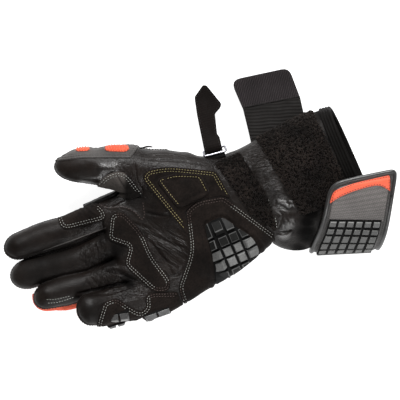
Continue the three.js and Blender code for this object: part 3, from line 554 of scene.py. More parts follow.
def ring_walls(size, count, closed=False):
    """Triangles between rings of points that follow each other, and from the last to the first if closed."""
    a = np.arange(size)
    b = (a + 1) % size
    tris = []
    for k in range(count if closed else count - 1):
        lower, upper = k * size, (k + 1) % count * size
        tris.append(np.stack([lower + a, lower + b, upper + b], 1))
        tris.append(np.stack([lower + a, upper + b, upper + a], 1))
    return tris


def stack(rings):
    """Closed body over rings with the same count of points, listed from the bottom up."""
    size = len(rings[0])
    points = np.vstack([*rings, rings[0].mean(0), rings[-1].mean(0)])
    a = np.arange(size)
    b = (a + 1) % size
    last = (len(rings) - 1) * size
    bottom = np.stack([np.full(size, len(points) - 2), b, a], 1)
    top = np.stack([np.full(size, len(points) - 1), last + a, last + b], 1)
    return points, np.concatenate([bottom, *ring_walls(size, len(rings)), top])


def tube_rings(path, radius, sides, closed=False):
    """Points of a tube round a path, ring by ring, without twisting."""
    if closed:
        direction = unit(np.roll(path, -1, axis=0) - np.roll(path, 1, axis=0))
    else:
        direction = unit(np.gradient(path, axis=0))
    normal = np.cross(direction[0], [0, 0, 1.0])
    if np.linalg.norm(normal) < 0.1:
        normal = np.cross(direction[0], [0, 1.0, 0])
    rings = []
    angles = np.arange(sides) * 2 * np.pi / sides
    for point, along, size in zip(path, direction, np.broadcast_to(radius, len(path))):
        normal = unit(normal - along * (normal @ along))
        side = np.cross(along, normal)
        rings.append(point + size * (np.outer(np.cos(angles), normal) + np.outer(np.sin(angles), side)))
    return rings


def outward_faces(points, tris):
    """Turns a closed body's faces round if they point inwards."""
    a, b, c = (points[tris[:, k]] for k in range(3))
    volume = np.einsum("ij,ij->i", a, np.cross(b, c)).sum()
    return points, tris if volume > 0 else tris[:, ::-1]


# Blender meshes

def to_world(points):
    return (np.asarray(points, float) + SHIFT) / 1000


def add_mesh(name, points, faces, materials, slot, replaces=(), flat=False, face_material=None):
    """A mesh object that rides on the glove's one body."""
    mesh = bpy.data.meshes.new(name)
    faces = np.asarray(faces, np.int32)
    mesh.vertices.add(len(points))
    mesh.vertices.foreach_set("co", to_world(points).astype(np.float32).ravel())
    mesh.loops.add(faces.size)
    mesh.loops.foreach_set("vertex_index", faces.ravel())
    mesh.polygons.add(len(faces))
    mesh.polygons.foreach_set("loop_start", np.arange(0, faces.size, faces.shape[1], dtype=np.int32))
    mesh.polygons.foreach_set("use_smooth", np.full(len(faces), not flat))
    for material in materials if isinstance(materials, list) else [materials]:
        mesh.materials.append(material)
    if face_material is not None:
        mesh.polygons.foreach_set("material_index", np.asarray(face_material, np.int32))
    mesh.update(calc_edges=True)
    mesh.validate()
    piece = bpy.data.objects.new(name, mesh)
    bpy.context.scene.collection.objects.link(piece)
    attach(piece, "root")
    if replaces:
        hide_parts(*replaces)
    report.append(f"{name} {len(points)} points {len(faces)} faces")
    return piece


def add_body(name, body, material, slot, replaces=()):
    """A mesh object of a closed body, its faces turned outwards."""
    return add_mesh(name, *outward_faces(*body), material, slot, replaces)


def add_attributes(piece, **attributes):
    """Values at a mesh's points that its material reads."""
    for name, values in attributes.items():
        kind, key = ("FLOAT_VECTOR", "vector") if values.ndim > 1 else ("FLOAT", "value")
        attribute = piece.data.attributes.new(name, kind, "POINT")
        attribute.data.foreach_set(key, values.astype(np.float32).ravel())


class Bodies:
    """Closed bodies gathered into one mesh, each face with the number of its material."""

    def __init__(self):
        self.points, self.faces, self.kinds, self.count = [], [], [], 0

    def add(self, points, tris, kind=0):
        self.points.append(points)
        self.faces.append(tris + self.count)
        self.kinds.append(np.broadcast_to(kind, len(tris)))
        self.count += len(points)

    def make(self, name, materials, replaces):
        add_mesh(name, np.vstack(self.points), np.concatenate(self.faces), materials, "slider_grey",
                 replaces, True, np.concatenate(self.kinds))


def tree_of(data, tris):
    return BVHTree.FromPolygons(data[:, :3].tolist(), tris.tolist())


def dropped(tree, x, y):
    """Where a line straight down meets a surface, and the surface's normal there."""
    return tree.ray_cast(Vector((x, y, ABOVE)), Vector((0, 0, -1)))[:2]


# Plan outlines

def rounded(corners, steps=5):
    """Points of an outline whose corners are rounded."""
    corners = np.asarray(corners, float)
    points = []
    for i, (x, y, radius) in enumerate(corners):
        corner = np.array([x, y])
        ends = []
        for other in (corners[i - 1, :2], corners[(i + 1) % len(corners), :2]):
            length = np.linalg.norm(other - corner)
            ends.append(corner + (other - corner) * min(radius, length * 0.45) / length)
        for t in np.linspace(0, 1, steps):
            points.append((1 - t) ** 2 * ends[0] + 2 * t * (1 - t) * corner + t * t * ends[1])
    return np.array(points)


def path_place(points, path):
    """Distance to a path, and the share of its length where it comes nearest."""
    best = np.full(len(points), 1e9)
    place = np.zeros(len(points))
    lengths = np.linalg.norm(np.diff(path, axis=0), axis=1)
    start = 0.0
    for a, b, length in zip(path[:-1], path[1:], lengths):
        along = b - a
        t = np.clip((points - a) @ along / max(along @ along, 1e-12), 0, 1)
        distance = np.linalg.norm(points - a - t[:, None] * along, axis=1)
        closer = distance < best
        best[closer] = distance[closer]
        place[closer] = start + t[closer] * length
        start += length
    return best, place / start


def path_distance(points, path):
    return path_place(points, path)[0]


def outline_distance(xy, outline):
    """Distance to a closed outline, below zero inside it."""
    closed = np.vstack([outline, outline[:1]])
    inside = np.zeros(len(xy), bool)
    for a, b in zip(closed[:-1], closed[1:]):
        if a[1] == b[1]:
            continue
        crosses = (a[1] > xy[:, 1]) != (b[1] > xy[:, 1])
        at = a[0] + (xy[:, 1] - a[1]) * (b[0] - a[0]) / (b[1] - a[1])
        inside ^= crosses & (xy[:, 0] < at)
    distance = path_distance(xy, closed)
    return np.where(inside, -distance, distance)


def resample(path, pitch, closed=False):
    """Points at even steps along a path, and the directions there."""
    path = np.vstack([path, path[:1]]) if closed else path
    arc = arc_lengths(path)
    count = max(2, int(round(arc[-1] / pitch)))
    places = (np.arange(count) + 0.5) * arc[-1] / count
    ahead = at_lengths(path, arc, np.minimum(places + 0.4, arc[-1]))
    behind = at_lengths(path, arc, np.maximum(places - 0.4, 0))
    return at_lengths(path, arc, places), unit(ahead - behind)


def smooth_path(points, steps=8):
    """A smooth curve through points."""
    return curve_rows(points, np.linspace(0, len(points) - 1, (len(points) - 1) * steps + 1))


def inset_path(outline, inset):
    """The line inside an outline at a distance from it."""
    dense, _ = resample(outline, 0.5, closed=True)
    ahead = np.roll(dense, -1, axis=0) - np.roll(dense, 1, axis=0)
    left = unit(np.stack([-ahead[:, 1], ahead[:, 0]], 1))
    area = np.sum(dense[:, 0] * np.roll(dense[:, 1], -1) - np.roll(dense[:, 0], -1) * dense[:, 1])
    moved = dense + left * inset * np.sign(area)
    good = outline_distance(moved, dense) < -inset + 0.12
    return moved[good]


# Materials

WAVE_SCALE = 314.16  # scale of a wave texture that repeats every millimetre
# Sizes of what varies in a material.
BROAD_MOTTLE = 22
FINE_MOTTLE = 1.6
FINISH_PATCH = 9
GRAIN_SIZE = 1.1
DOT_SIZE = 1.5
CRACKLE_SIZE = 6.5
CRACKLE_BEND = 11
PORE_SIZE = 0.7
CREASE_SIZE = 7
# Colour that painted shade darkens a material towards.
DEEP_SHADE = (0.08, 0.08, 0.08, 1)


class Shader:
    """A material's nodes while it is built. Sizes are in millimetres."""

    def __init__(self, name):
        self.material = bpy.data.materials.new(name)
        self.material.use_nodes = True
        self.place = self.node("TexCoord").outputs["Object"]
        self.relief = None

    def connect(self, node, inputs):
        """Gives each input a value, or links it to another node's output."""
        for key, value in inputs.items():
            if isinstance(value, bpy.types.NodeSocket):
                self.material.node_tree.links.new(value, node.inputs[key])
            else:
                node.inputs[key].default_value = value

    def node(self, kind, inputs=None, **settings):
        node = self.material.node_tree.nodes.new("ShaderNode" + kind)
        for key, value in settings.items():
            setattr(node, key, value)
        self.connect(node, inputs or {})
        return node

    def attribute(self, name, output="Fac"):
        return self.node("Attribute", attribute_name=name).outputs[output]

    def noise(self, size, detail=4.0, distortion=0.0, place=None, output="Fac"):
        inputs = {"Scale": 1000 / size, "Detail": detail, "Distortion": distortion}
        inputs["Vector"] = self.place if place is None else place
        return self.node("TexNoise", inputs).outputs[output]

    def wave(self, place, pitch, distortion=0.0, direction="X"):
        inputs = {"Vector": place, "Scale": WAVE_SCALE / pitch, "Distortion": distortion}
        return self.node("TexWave", inputs, bands_direction=direction).outputs["Fac"]

    def cells(self, place, size, border):
        """0 at the borders of cells and 1 beyond a share of their size."""
        inputs = {"Vector": place, "Scale": 1000 / size}
        cells = self.node("TexVoronoi", inputs, feature="DISTANCE_TO_EDGE").outputs["Distance"]
        return self.node("MapRange", {"Value": cells, "From Max": border}).outputs["Result"]

    def ramp(self, factor, low, high, low_place=0.3, high_place=0.7):
        node = self.node("ValToRGB", {"Fac": factor})
        for number, (place, colour) in enumerate(((low_place, low), (high_place, high))):
            node.color_ramp.elements[number].position = place
            node.color_ramp.elements[number].color = (*colour, 1)
        return node.outputs["Color"]

    def grey_ramp(self, factor, low, high, *places):
        return self.ramp(factor, [low] * 3, [high] * 3, *places)

    def multiplied(self, a, b, factor=1.0):
        inputs = {"A": a, "B": b, "Factor": factor}
        return self.node("Mix", inputs, data_type="RGBA", blend_type="MULTIPLY").outputs["Result"]

    def blended(self, a, b, factor):
        return self.node("Mix", {"A": a, "B": b, "Factor": factor}).outputs["Result"]

    def math(self, operation, a, b):
        return self.node("Math", {0: a, 1: b}, operation=operation).outputs["Value"]

    def add_relief(self, height, depth, strength=1.0):
        inputs = {"Height": height, "Distance": depth / 1000, "Strength": strength}
        if self.relief is not None:
            inputs["Normal"] = self.relief
        self.relief = self.node("Bump", inputs).outputs["Normal"]


def surface(name, colour, roughness, specular=0.5, metallic=0.0, sheen=0.0, mottle=0.25, spread=0.08,
            grain=0.0, pores=0.0, creases=0.0, crackle=0.0, wrinkles=0.0, weave=0.0, weave_size=1.0,
            dots=0.0, gloss=0.0, bands=None, painted_light=False):
    """A material whose colour, gloss and relief vary as the real one's do, save for the shade that can be
    painted on it.

    Bands are their pitch, heading and contrast. A material with painted light reads from the mesh where shade
    is painted on it, "shade", and how much it is creased, one with a gloss reads where it has it, and one
    with wrinkles reads how they flow and how deep they are.
    """
    shader = Shader(name)
    dark = [value * (1 - mottle) for value in colour]
    light = [min(1, value * (1 + mottle)) for value in colour]
    broad = shader.ramp(shader.noise(BROAD_MOTTLE), dark, light)
    tint = shader.multiplied(broad, shader.grey_ramp(shader.noise(FINE_MOTTLE, 3), 1 - mottle, 1))
    if bands is not None:
        pitch, heading, contrast = bands
        turned = shader.node("Mapping", {"Vector": shader.place, "Rotation": (0, 0, math.radians(heading))})
        stripes = shader.wave(turned.outputs["Vector"], pitch, 0.6)
        tint = shader.multiplied(tint, shader.grey_ramp(stripes, 1 - contrast, 1 + contrast))
    finish = shader.node("MapRange", {
        "Value": shader.noise(FINISH_PATCH, 5), "From Min": 0.3, "From Max": 0.7,
        "To Min": max(0, roughness - spread), "To Max": min(1, roughness + spread),
    }).outputs["Result"]
    inputs = {"Specular IOR Level": specular, "Metallic": metallic, "Sheen Weight": sheen,
              "Coat Roughness": 0.3, "Coat IOR": 1.7}
    if gloss:
        inputs["Coat Weight"] = shader.attribute("gloss")
        finish = shader.blended(finish, gloss, inputs["Coat Weight"])
    creased = 1.0
    if painted_light:
        shade, creased = shader.attribute("shade"), shader.attribute("creased")
        # Painted shade: the colour is darkened towards DEEP_SHADE and the gloss dulled where the mesh's shade
        # attribute says.
        tint = shader.multiplied(tint, DEEP_SHADE, shade)
        finish = shader.blended(finish, 1.0, shade)

    if grain:
        shader.add_relief(shader.cells(shader.place, GRAIN_SIZE, 0.25), grain)
    if dots:
        dot_inputs = {"Vector": shader.place, "Scale": 1000 / DOT_SIZE, "Randomness": 0.1}
        spots = shader.node("TexVoronoi", dot_inputs).outputs["Distance"]
        shader.add_relief(spots, -dots)
        tint = shader.multiplied(tint, shader.grey_ramp(spots, 1.15, 0.6, 0.2, 0.65))
    if crackle:
        bend = shader.noise(CRACKLE_BEND, 3, output="Color")
        bent = shader.node("VectorMath", {0: bend, 1: [CRACKLE_BEND / 1000] * 3, 2: shader.place},
                           operation="MULTIPLY_ADD").outputs["Vector"]
        shader.add_relief(shader.cells(bent, CRACKLE_SIZE, 0.12), crackle, creased)
    if pores:
        shader.add_relief(shader.noise(PORE_SIZE, 3), pores)
    if creases:
        shader.add_relief(shader.noise(CREASE_SIZE, 6, 1.2), creases, creased)
    if wrinkles:
        # The flow is measured in wrinkles, so the noise has a scale of 1.
        folded = shader.noise(1000, 2, place=shader.attribute("flow", "Vector"))
        height = shader.math("PINGPONG", folded, 0.5)
        shader.add_relief(shader.math("MULTIPLY", height, shader.attribute("wrinkled")), -wrinkles)
    if weave:
        for direction in ("X", "Y"):
            shader.add_relief(shader.wave(shader.place, weave_size, direction=direction), weave)
    if shader.relief is not None:
        inputs["Normal"] = inputs["Coat Normal"] = shader.relief
    principled = shader.material.node_tree.nodes["Principled BSDF"]
    shader.connect(principled, {**inputs, "Base Color": tint, "Roughness": finish})
    return shader.material


# The skin's leather carries painted shade where the mesh marks it, which darkens it and dulls its gloss.
LEATHER = surface("black_leather", (0.0105, 0.0076, 0.0063), 0.45, 0.12, grain=0.06, pores=0.03, creases=0.35,
                  mottle=0.4, spread=0.1, crackle=0.1, gloss=0.24, painted_light=True, wrinkles=2.6)
EDGE_LEATHER = surface("edge_leather", (0.0060, 0.0052, 0.0048), 0.42, 0.14, grain=0.06, creases=0.2)
BINDING_LEATHER = surface("binding_leather", (0.0045, 0.0039, 0.0035), 0.6, 0.06, grain=0.06, creases=0.2)
GREY_LEATHER = surface("grey_leather", (0.060, 0.055, 0.052), 0.5, 0.25, grain=0.08, creases=0.3)
SUEDE = surface("brown_suede", (0.0112, 0.0079, 0.0065), 0.85, 0.08, sheen=0.03, pores=0.2, mottle=0.55,
                creases=0.6)
# Painted light: the thumb web's suede is a much lighter copy of the brown suede, as if lit, and it also
# carries painted shade.
WEB_SUEDE_PAINTED_LIGHT = surface("web_suede_painted_light", (0.066, 0.058, 0.053), 0.75, 0.08, pores=0.2, mottle=0.35, creases=0.4,
                    painted_light=True)
LINING = surface("dark_lining", (0.007, 0.006, 0.0055), 0.9, 0.12, weave=0.1, weave_size=1.2)
RED = surface("red_leather", (0.90, 0.135, 0.066), 0.5, 0.3, grain=0.10, mottle=0.12)
FLAP_GREY = surface("pebbled_grey", (0.165, 0.152, 0.146), 0.55, 0.25, mottle=0.15, dots=0.3)
FLAP_BLACK = surface("flap_leather", (0.070, 0.066, 0.064), 0.45, 0.25, grain=0.06, dots=0.2)
PIPING_LEATHER = surface("piping_leather", (0.021, 0.0205, 0.020), 0.34, 0.55, grain=0.04, mottle=0.2)
PILE = surface("loop_pile", (0.0240, 0.0180, 0.0150), 0.9, 0.1, sheen=0.04, mottle=0.6)
PILE_BASE = surface("loop_ground", (0.004, 0.0032, 0.0028), 1.0, 0.08, pores=0.2)
HOOK = surface("hook_tape", (0.0210, 0.0170, 0.0180), 0.75, 0.16, weave=0.12, weave_size=1.0,
               bands=(1.9, 37, 0.38))
STRAP = surface("strap_tape", (0.0062, 0.0044, 0.0038), 0.8, 0.08, weave=0.12, weave_size=1.0,
                bands=(2.0, 99, 0.12))
ELASTIC = surface("ribbed_elastic", (0.0092, 0.0078, 0.0070), 0.7, 0.15, weave=0.06, weave_size=0.8)
WEBBING = surface("webbing", (0.0035, 0.0032, 0.0032), 0.7, 0.12, weave=0.15, weave_size=1.1)
SLIDER = surface("slider_grey", (0.010, 0.010, 0.0095), 0.55, 0.12, mottle=0.4, pores=0.01)
# Painted highlight: a lighter, glossier copy of the slider's grey for the blocks in the lit rows.
SLIDER_PAINTED_HIGHLIGHT = surface("slider_painted_highlight", (0.150, 0.150, 0.146), 0.4, 0.5, mottle=0.45, pores=0.01)
SLIDER_EDGE = surface("slider_edge", (0.085, 0.085, 0.083), 0.45, 0.3, mottle=0.2)
FLAP_SLIDER = surface("flap_slider_grey", (0.072, 0.072, 0.070), 0.42, 0.4, mottle=0.25, pores=0.01)
FLAP_SLIDER_EDGE = surface("flap_slider_edge", (0.22, 0.22, 0.213), 0.4, 0.4, mottle=0.2)
SLIDER_BASE = surface("slider_base", (0.002, 0.002, 0.002), 0.7, 0.1, pores=0.03)
STUD = surface("stud_grey", (0.085, 0.085, 0.082), 0.3, 0.7, mottle=0.2, pores=0.01)
# Painted shade: a darker copy of the stud's grey for the facets that would lie in shade.
STUD_PAINTED_SHADE = surface("stud_painted_shade", (0.016, 0.016, 0.0155), 0.35, 0.4, mottle=0.2, pores=0.01)
SILVER = surface("silver_wire", (0.50, 0.50, 0.54), 0.3, 0.5, metallic=1.0, mottle=0.05)
WHITE_THREAD = surface("pale_thread", (0.42, 0.43, 0.40), 0.6, 0.3, mottle=0.3)
YELLOW_THREAD = surface("yellow_thread", (0.40, 0.34, 0.15), 0.6, 0.3, mottle=0.3)
DIM_THREAD = surface("dim_thread", (0.105, 0.075, 0.068), 0.6, 0.3, mottle=0.3)
DARK_THREAD = surface("dark_thread", (0.022, 0.020, 0.019), 0.6, 0.3, mottle=0.2)


# Camera, light and floor

IMAGE_WIDTH = 348.0
VIEW_CENTRE = np.array([-31.4, 4.2, 30.0])
ROLL = math.radians(-23.5)
CAMERA_HEIGHT = 2.5
SENSOR = 36
FLOOR_HALF = 4
LIGHT_TARGET = Vector((0, 0, 0.03))
AMBIENT = 0.16
FLOOR_GLOW = 0.92
# Lights: place in the view to the right, up and above the floor in metres, size and power.
LIGHTS = {
    "key_light": ((-0.1, 1.5, 1.4), 0.9, 58),
    "fill_light": ((1.0, -0.2, 1.4), 0.8, 7),
    "low_light": ((0.3, -1.5, 0.8), 0.6, 15),
}


def add_object(name, data):
    added = bpy.data.objects.new(name, data)
    bpy.context.scene.collection.objects.link(added)
    return added


view_middle = to_world(VIEW_CENTRE)
camera = add_object("camera", bpy.data.cameras.new("camera"))
camera.data.sensor_width = SENSOR
camera.data.lens = SENSOR * (CAMERA_HEIGHT - view_middle[2]) * 1000 / IMAGE_WIDTH
camera.data.clip_end = 20
camera.location = (*view_middle[:2], CAMERA_HEIGHT)
camera.rotation_euler = (0, 0, ROLL)
bpy.context.scene.camera = camera

for light_name, (place, size, power) in LIGHTS.items():
    light = bpy.data.lights.new(light_name, "AREA")
    light.shape = "DISK"
    light.size = size
    light.energy = power
    lamp = add_object(light_name, light)
    lamp.location = Matrix.Rotation(ROLL, 4, "Z") @ Vector(place) + Vector((*view_middle[:2], 0))
    lamp.rotation_euler = (LIGHT_TARGET - lamp.location).to_track_quat("-Z", "Y").to_euler()

world = bpy.data.worlds.new("studio")
bpy.context.scene.world = world
world.use_nodes = True
world.node_tree.nodes["Background"].inputs["Color"].default_value = (1, 1, 1, 1)
world.node_tree.nodes["Background"].inputs["Strength"].default_value = AMBIENT

floor_mesh = bpy.data.meshes.new("floor")
floor_mesh.from_pydata([(x * FLOOR_HALF, y * FLOOR_HALF, 0) for x, y in ((-1, -1), (1, -1), (1, 1), (-1, 1))],
                       [], [(0, 1, 2, 3)])
floor = add_object("floor", floor_mesh)
FLOOR = surface("pale_floor", (0.5, 0.5, 0.5), 0.8, 0.1, mottle=0.01)
FLOOR.node_tree.nodes["Principled BSDF"].inputs["Emission Color"].default_value = (1, 1, 1, 1)
FLOOR.node_tree.nodes["Principled BSDF"].inputs["Emission Strength"].default_value = FLOOR_GLOW
floor_mesh.materials.append(FLOOR)
bpy.context.scene.view_settings.view_transform = "Standard"


# The leather skin

# Creases and ridges in the palm's leather: points of a line seen from above, height, half width.
FOLDS = [
    ([(-102, 65), (-94, 61.5), (-86, 57)], 1.5, 3.4),
    ([(-97, 57.5), (-90, 55.5), (-84, 51.5)], -1.0, 1.8),
    ([(-120, 64), (-111, 60), (-102, 56.5)], 1.0, 3.0),
    ([(-89.5, 54), (-88, 47), (-86.5, 40)], -1.6, 1.6),
    ([(-176, 16.8), (-156, 15.8), (-136, 15.7), (-114, 14.5)], 0.9, 1.1),
    ([(-174, 14.1), (-155, 11.6), (-136, 11.4), (-118, 11.3)], -1.1, 1.4),
    ([(-149, 0.2), (-146, -5.5), (-143, -11)], -0.8, 1.2),
    ([(-143.5, 2), (-140, -6.5), (-138, -12)], -0.9, 1.2),
    ([(-137, 4), (-134.5, -6), (-134, -12.5)], -0.9, 1.2),
    ([(-131.5, 5.5), (-130.5, -4), (-132, -12)], -0.8, 1.1),
    ([(-127, 6), (-126, -4.5), (-128.5, -11.5)], -0.7, 1.1),
    ([(-132, -15), (-118, -24), (-106, -36)], 1.3, 2.2),
    ([(-133, -19.5), (-120, -28.2), (-109, -39.5)], -1.6, 1.7),
    ([(-163, -28), (-144, -32), (-125, -35), (-110, -37)], -1.8, 1.7),
    ([(-156, -31.5), (-138, -37.4), (-121, -40.4), (-106, -41.5)], -1.3, 1.6),
    ([(-129, -24), (-124, -29), (-119, -36)], -0.8, 1.4),
    ([(-151, -20), (-149, -26), (-149, -32)], -0.6, 1.3),
    ([(-146, -19), (-143, -26), (-142, -32)], -0.7, 1.3),
    ([(-140, -17), (-137, -25), (-135, -33)], -0.6, 1.3),
    ([(-89, -4), (-84, -18), (-80, -35), (-79, -49)], -1.3, 1.9),
    ([(-84, -3), (-75, -14.7), (-65, -24.7), (-58, -30)], -1.2, 1.8),
    ([(-87, -18), (-79, -33), (-72, -44)], -1.0, 1.6),
    ([(-83, -45), (-77, -47.8), (-68, -43)], -1.1, 1.5),
    ([(-80, -12), (-73, -26), (-67, -38)], 0.9, 1.9),
    ([(-79, 13), (-69, 6.2), (-60, 1.5)], -1.4, 1.8),
    ([(-80, 16), (-70, 9.6), (-62, 5)], 0.8, 1.6),
    ([(-96, 12), (-84, 1), (-70, -9)], -0.7, 1.6),
    ([(-70, 58), (-72.5, 49), (-74.7, 41), (-73.5, 29)], -1.1, 1.3),
    ([(-65, 57.8), (-51.7, 51.4), (-30.9, 41), (-14, 29)], -0.7, 1.0),
    ([(-62, 60.6), (-44, 54), (-29, 45), (-12, 33)], -0.7, 1.0),
    ([(-103, 34), (-91, 34.6), (-75, 32)], 1.0, 1.8),
    ([(-104, 31), (-91, 31), (-76, 27)], -1.2, 1.6),
    ([(-114, 36.7), (-107.5, 29.9), (-95, 25.2), (-87.7, 17.3), (-84.6, 9.3)], 0.8, 1.1),
    ([(-150, -48), (-143, -46), (-136, -46)], -0.9, 1.6),
    ([(-112, -44), (-104, -46), (-94, -52)], -1.0, 1.6),
    ([(-114, 31), (-117, 22), (-120, 12), (-121, 3)], -1.0, 1.7),
    ([(28.7, -23.4), (31.6, -25.6), (33.8, -28), (37, -32.7)], 2.4, 1.6),
    ([(36.7, -26.9), (41, -30.1), (44.2, -31.4), (47.1, -31.4)], 1.5, 1.8),
    ([(30.8, -29.5), (34.1, -32.9), (39.2, -34.1)], -1.6, 1.6),
    ([(25.6, -30.6), (27.5, -32.8), (28.8, -36.3)], -1.0, 1.0),
    ([(25.5, -41), (30, -44), (35.5, -45)], 1.6, 4.0),
    ([(26.4, -38.5), (26.8, -43), (26.3, -47.5)], -0.7, 0.9),
    ([(30.4, -39.3), (31.2, -43.9), (31.4, -47.8)], -0.7, 0.9),
    ([(34.2, -41.4), (34.9, -45.1), (35.3, -48.6)], -0.7, 0.9),
    ([(19.1, -47.7), (23, -49.7), (27.1, -51.1), (31.8, -51.3)], -2.4, 1.4),
    ([(18, -49.1), (23, -51.8), (28.2, -53)], 1.3, 1.3),
    ([(27.9, -55.8), (31.7, -52.7)], -1.0, 1.0),
]
# Areas of fine wrinkles: centre, reach along and across the wrinkles, their heading, spacing, height.
WRINKLES = [
    (-136, -3, 11, 13, 68, 2.2, 0.6), (-136, -26, 11, 15, 80, 2.2, 0.55), (-138, 22, 10, 10, 80, 3.0, 0.3),
    (-75, -22, 26, 22, -55, 4.0, 0.5), (-118, -42, 22, 10, -12, 3.0, 0.6), (-92, 40, 16, 12, 10, 3.4, 0.5),
    (30, 0, 12, 34, -4, 2.6, 0.9),
    (-60, 34, 10, 20, 70, 4.0, 0.35), (0, 30, 14, 10, -10, 2.8, 0.4), (-72, -60, 24, 14, -20, 4.0, 0.4),
    (-96, -10, 8, 22, 20, 3.0, 0.4), (-130, 31, 9, 12, -57, 2.8, 0.5),
]
# Soft swellings and hollows of the skin seen from above: centre, reach and height.
SWELLS = [
    (-121.5, -69, 9, 3.0), (-76, 76, 15, -1.3), (-53, 63, 12, -3.0), (-31, 50, 18, -1.2),
    (-11, -58, 16, -0.8), (-117, 78, 12, -0.6),
    (-188, -33, 11, -2.8), (-95, 81, 7, -1.8), (-125, 89, 10, -2.8),
]
# Seams round the fingers: how high each side of the seam lies, in degrees, outer side and thumb side.
FINGER_SEAMS = {"index": (23, -6), "middle": (-6, -6), "ring": (4, -6), "little": (2, -6), "thumb": (-4, -4)}

SEED_STEP = np.array([7.3, 3.1, 5.7])  # how far apart the noise of two seeds is read
LUMPS = ((0.25, 14, 1), (0.12, 5, 2))  # unevenness of the skin: height, size and seed
SEAM_START = 12  # the first station of a limb's line, of 65, that has seams
PALM_GLOSS = 0.1  # gloss of the creased leather outside the glossy areas
# Where the leather is glossy, seen from above: centre, reach and how glossy.
GLOSSY_AREAS = [
    (-99, 59.5, 13, 0.6), (-89, 58, 11, 0.6), (-114, 59, 11, 0.6), (33, -28, 12, 1), (40, -31, 10, 1),
    (29, -44, 10, 1), (24, -52, 8, 0.9), (-170, -22, 26, 0.05), (-140, -24, 18, 0.1), (28, 24, 12, 0.2),
    (31, 8, 12, 0.3), (33, -10, 12, 0.3), (-66, -50, 20, 0.25), (-154, -38, 9, 0.14), (-92, 34, 9, 0.4),
]
# Painted shade: where the leather's colour is darkened and its gloss dulled, for hollows and other places
# that lie in the dark: centre, reach and how dark.
PAINTED_SHADE_AREAS = [
    (61, -27, 13, 0.9), (52, -44, 15, 1), (42, -59, 16, 1), (30, -72, 13, 1), (-114, -6, 13, 0.8),
    (-124, -12, 10, 0.7), (-116, -36, 10, 0.8), (-122, 7, 10, 0.7), (-84, 25, 14, 0.5), (-77, 10, 10, 0.4),
    (-150, -46, 18, 0.5), (-165, 2, 30, 0.45), (-188, 6, 24, 0.45), (98, 34, 20, 0.9), (98, 8, 22, 0.9),
    (98, -20, 22, 0.9), (96, -48, 20, 0.9), (60, -60, 16, 0.9), (46, -50, 12, 1), (-86, 34, 7, 0.6),
]


def limb_seam(limb, near, far):
    """A line up one side of a limb, round its end and back down the other side."""
    line, _ = limb_line(limb, 65)
    _, square, _, cap = LIMBS[limb]
    side = unit(np.stack([-line[:, 4], line[:, 3], 0 * line[:, 3]], 1))
    up = np.cross(line[:, 3:6], side)
    sides = []
    for degrees, sign in ((near, 1), (far, -1)):
        c, s = math.cos(math.radians(degrees)), math.sin(math.radians(degrees))
        scale = (abs(c) ** square + abs(s) ** square) ** (-1 / square)
        path = line[:, :3] + (side * sign * c * line[:, 6:7] + up * s * line[:, 7:8]) * scale
        sides.append(path[SEAM_START:])
    turn = np.linspace(0, np.pi, 17)[1:-1, None]
    middle, half = (sides[0][-1] + sides[1][-1]) / 2, (sides[0][-1] - sides[1][-1]) / 2
    tip = middle + half * np.cos(turn) + line[-1, 3:6] * cap * np.sin(turn)
    return np.vstack([sides[0], tip, sides[1][::-1]])


SEAM_LINES = [limb_seam(limb, *angles) for limb, angles in FINGER_SEAMS.items()]


def rough(points, size, seed):
    """Soft noise between about -1 and 1 at each point."""
    offset = Vector(seed * SEED_STEP)
    return np.array([noise.noise(Vector(p) / size + offset) for p in points])


def facing_up(normals):
    """From 0 on the back of the glove to 1 on its palm side."""
    return np.clip((normals[:, 2] + 0.1) / 0.4, 0, 1)


def along_wrinkles(points, area):
    """Places measured along and across an area's wrinkles, and how strong the wrinkles are there."""
    x, y, along, across, heading, spacing, _ = area
    turn = math.radians(heading)
    offset = points[:, :2] - [x, y]
    a = offset @ [math.cos(turn), math.sin(turn)]
    b = offset @ [-math.sin(turn), math.cos(turn)]
    fade = np.exp(-(((a / along) ** 2 + (b / across) ** 2) ** 2))
    return np.stack([a / (spacing * 6), b / spacing, points[:, 2] / (spacing * 2.5)], 1), fade


def wrinkle_flow(points, palm_side):
    """Coordinates for the finest wrinkles, and how deep they are."""
    flow = points / 3.0
    depth = np.zeros(len(points))
    for number, area in enumerate(WRINKLES):
        stretched, fade = along_wrinkles(points, area)
        fade = fade * area[6] * palm_side
        deeper = fade > depth
        flow[deeper] = stretched[deeper] * 1.5 + number * 17
        depth[deeper] = fade[deeper]
    return flow, np.clip(depth * 2, 0, 1)


def swell(points):
    """How far both faces of the leather are moved out by the soft swellings and hollows."""
    lift = np.zeros(len(points))
    for x, y, reach, height in SWELLS:
        lift += height * np.exp(-(((points[:, 0] - x) ** 2 + (points[:, 1] - y) ** 2) / reach ** 2))
    return lift


def near_path(points, path, margin):
    """Numbers of the points in a box round a path."""
    points = points[:, :path.shape[1]]
    inside = (points > path.min(0) - margin) & (points < path.max(0) + margin)
    return np.flatnonzero(np.all(inside, axis=1))


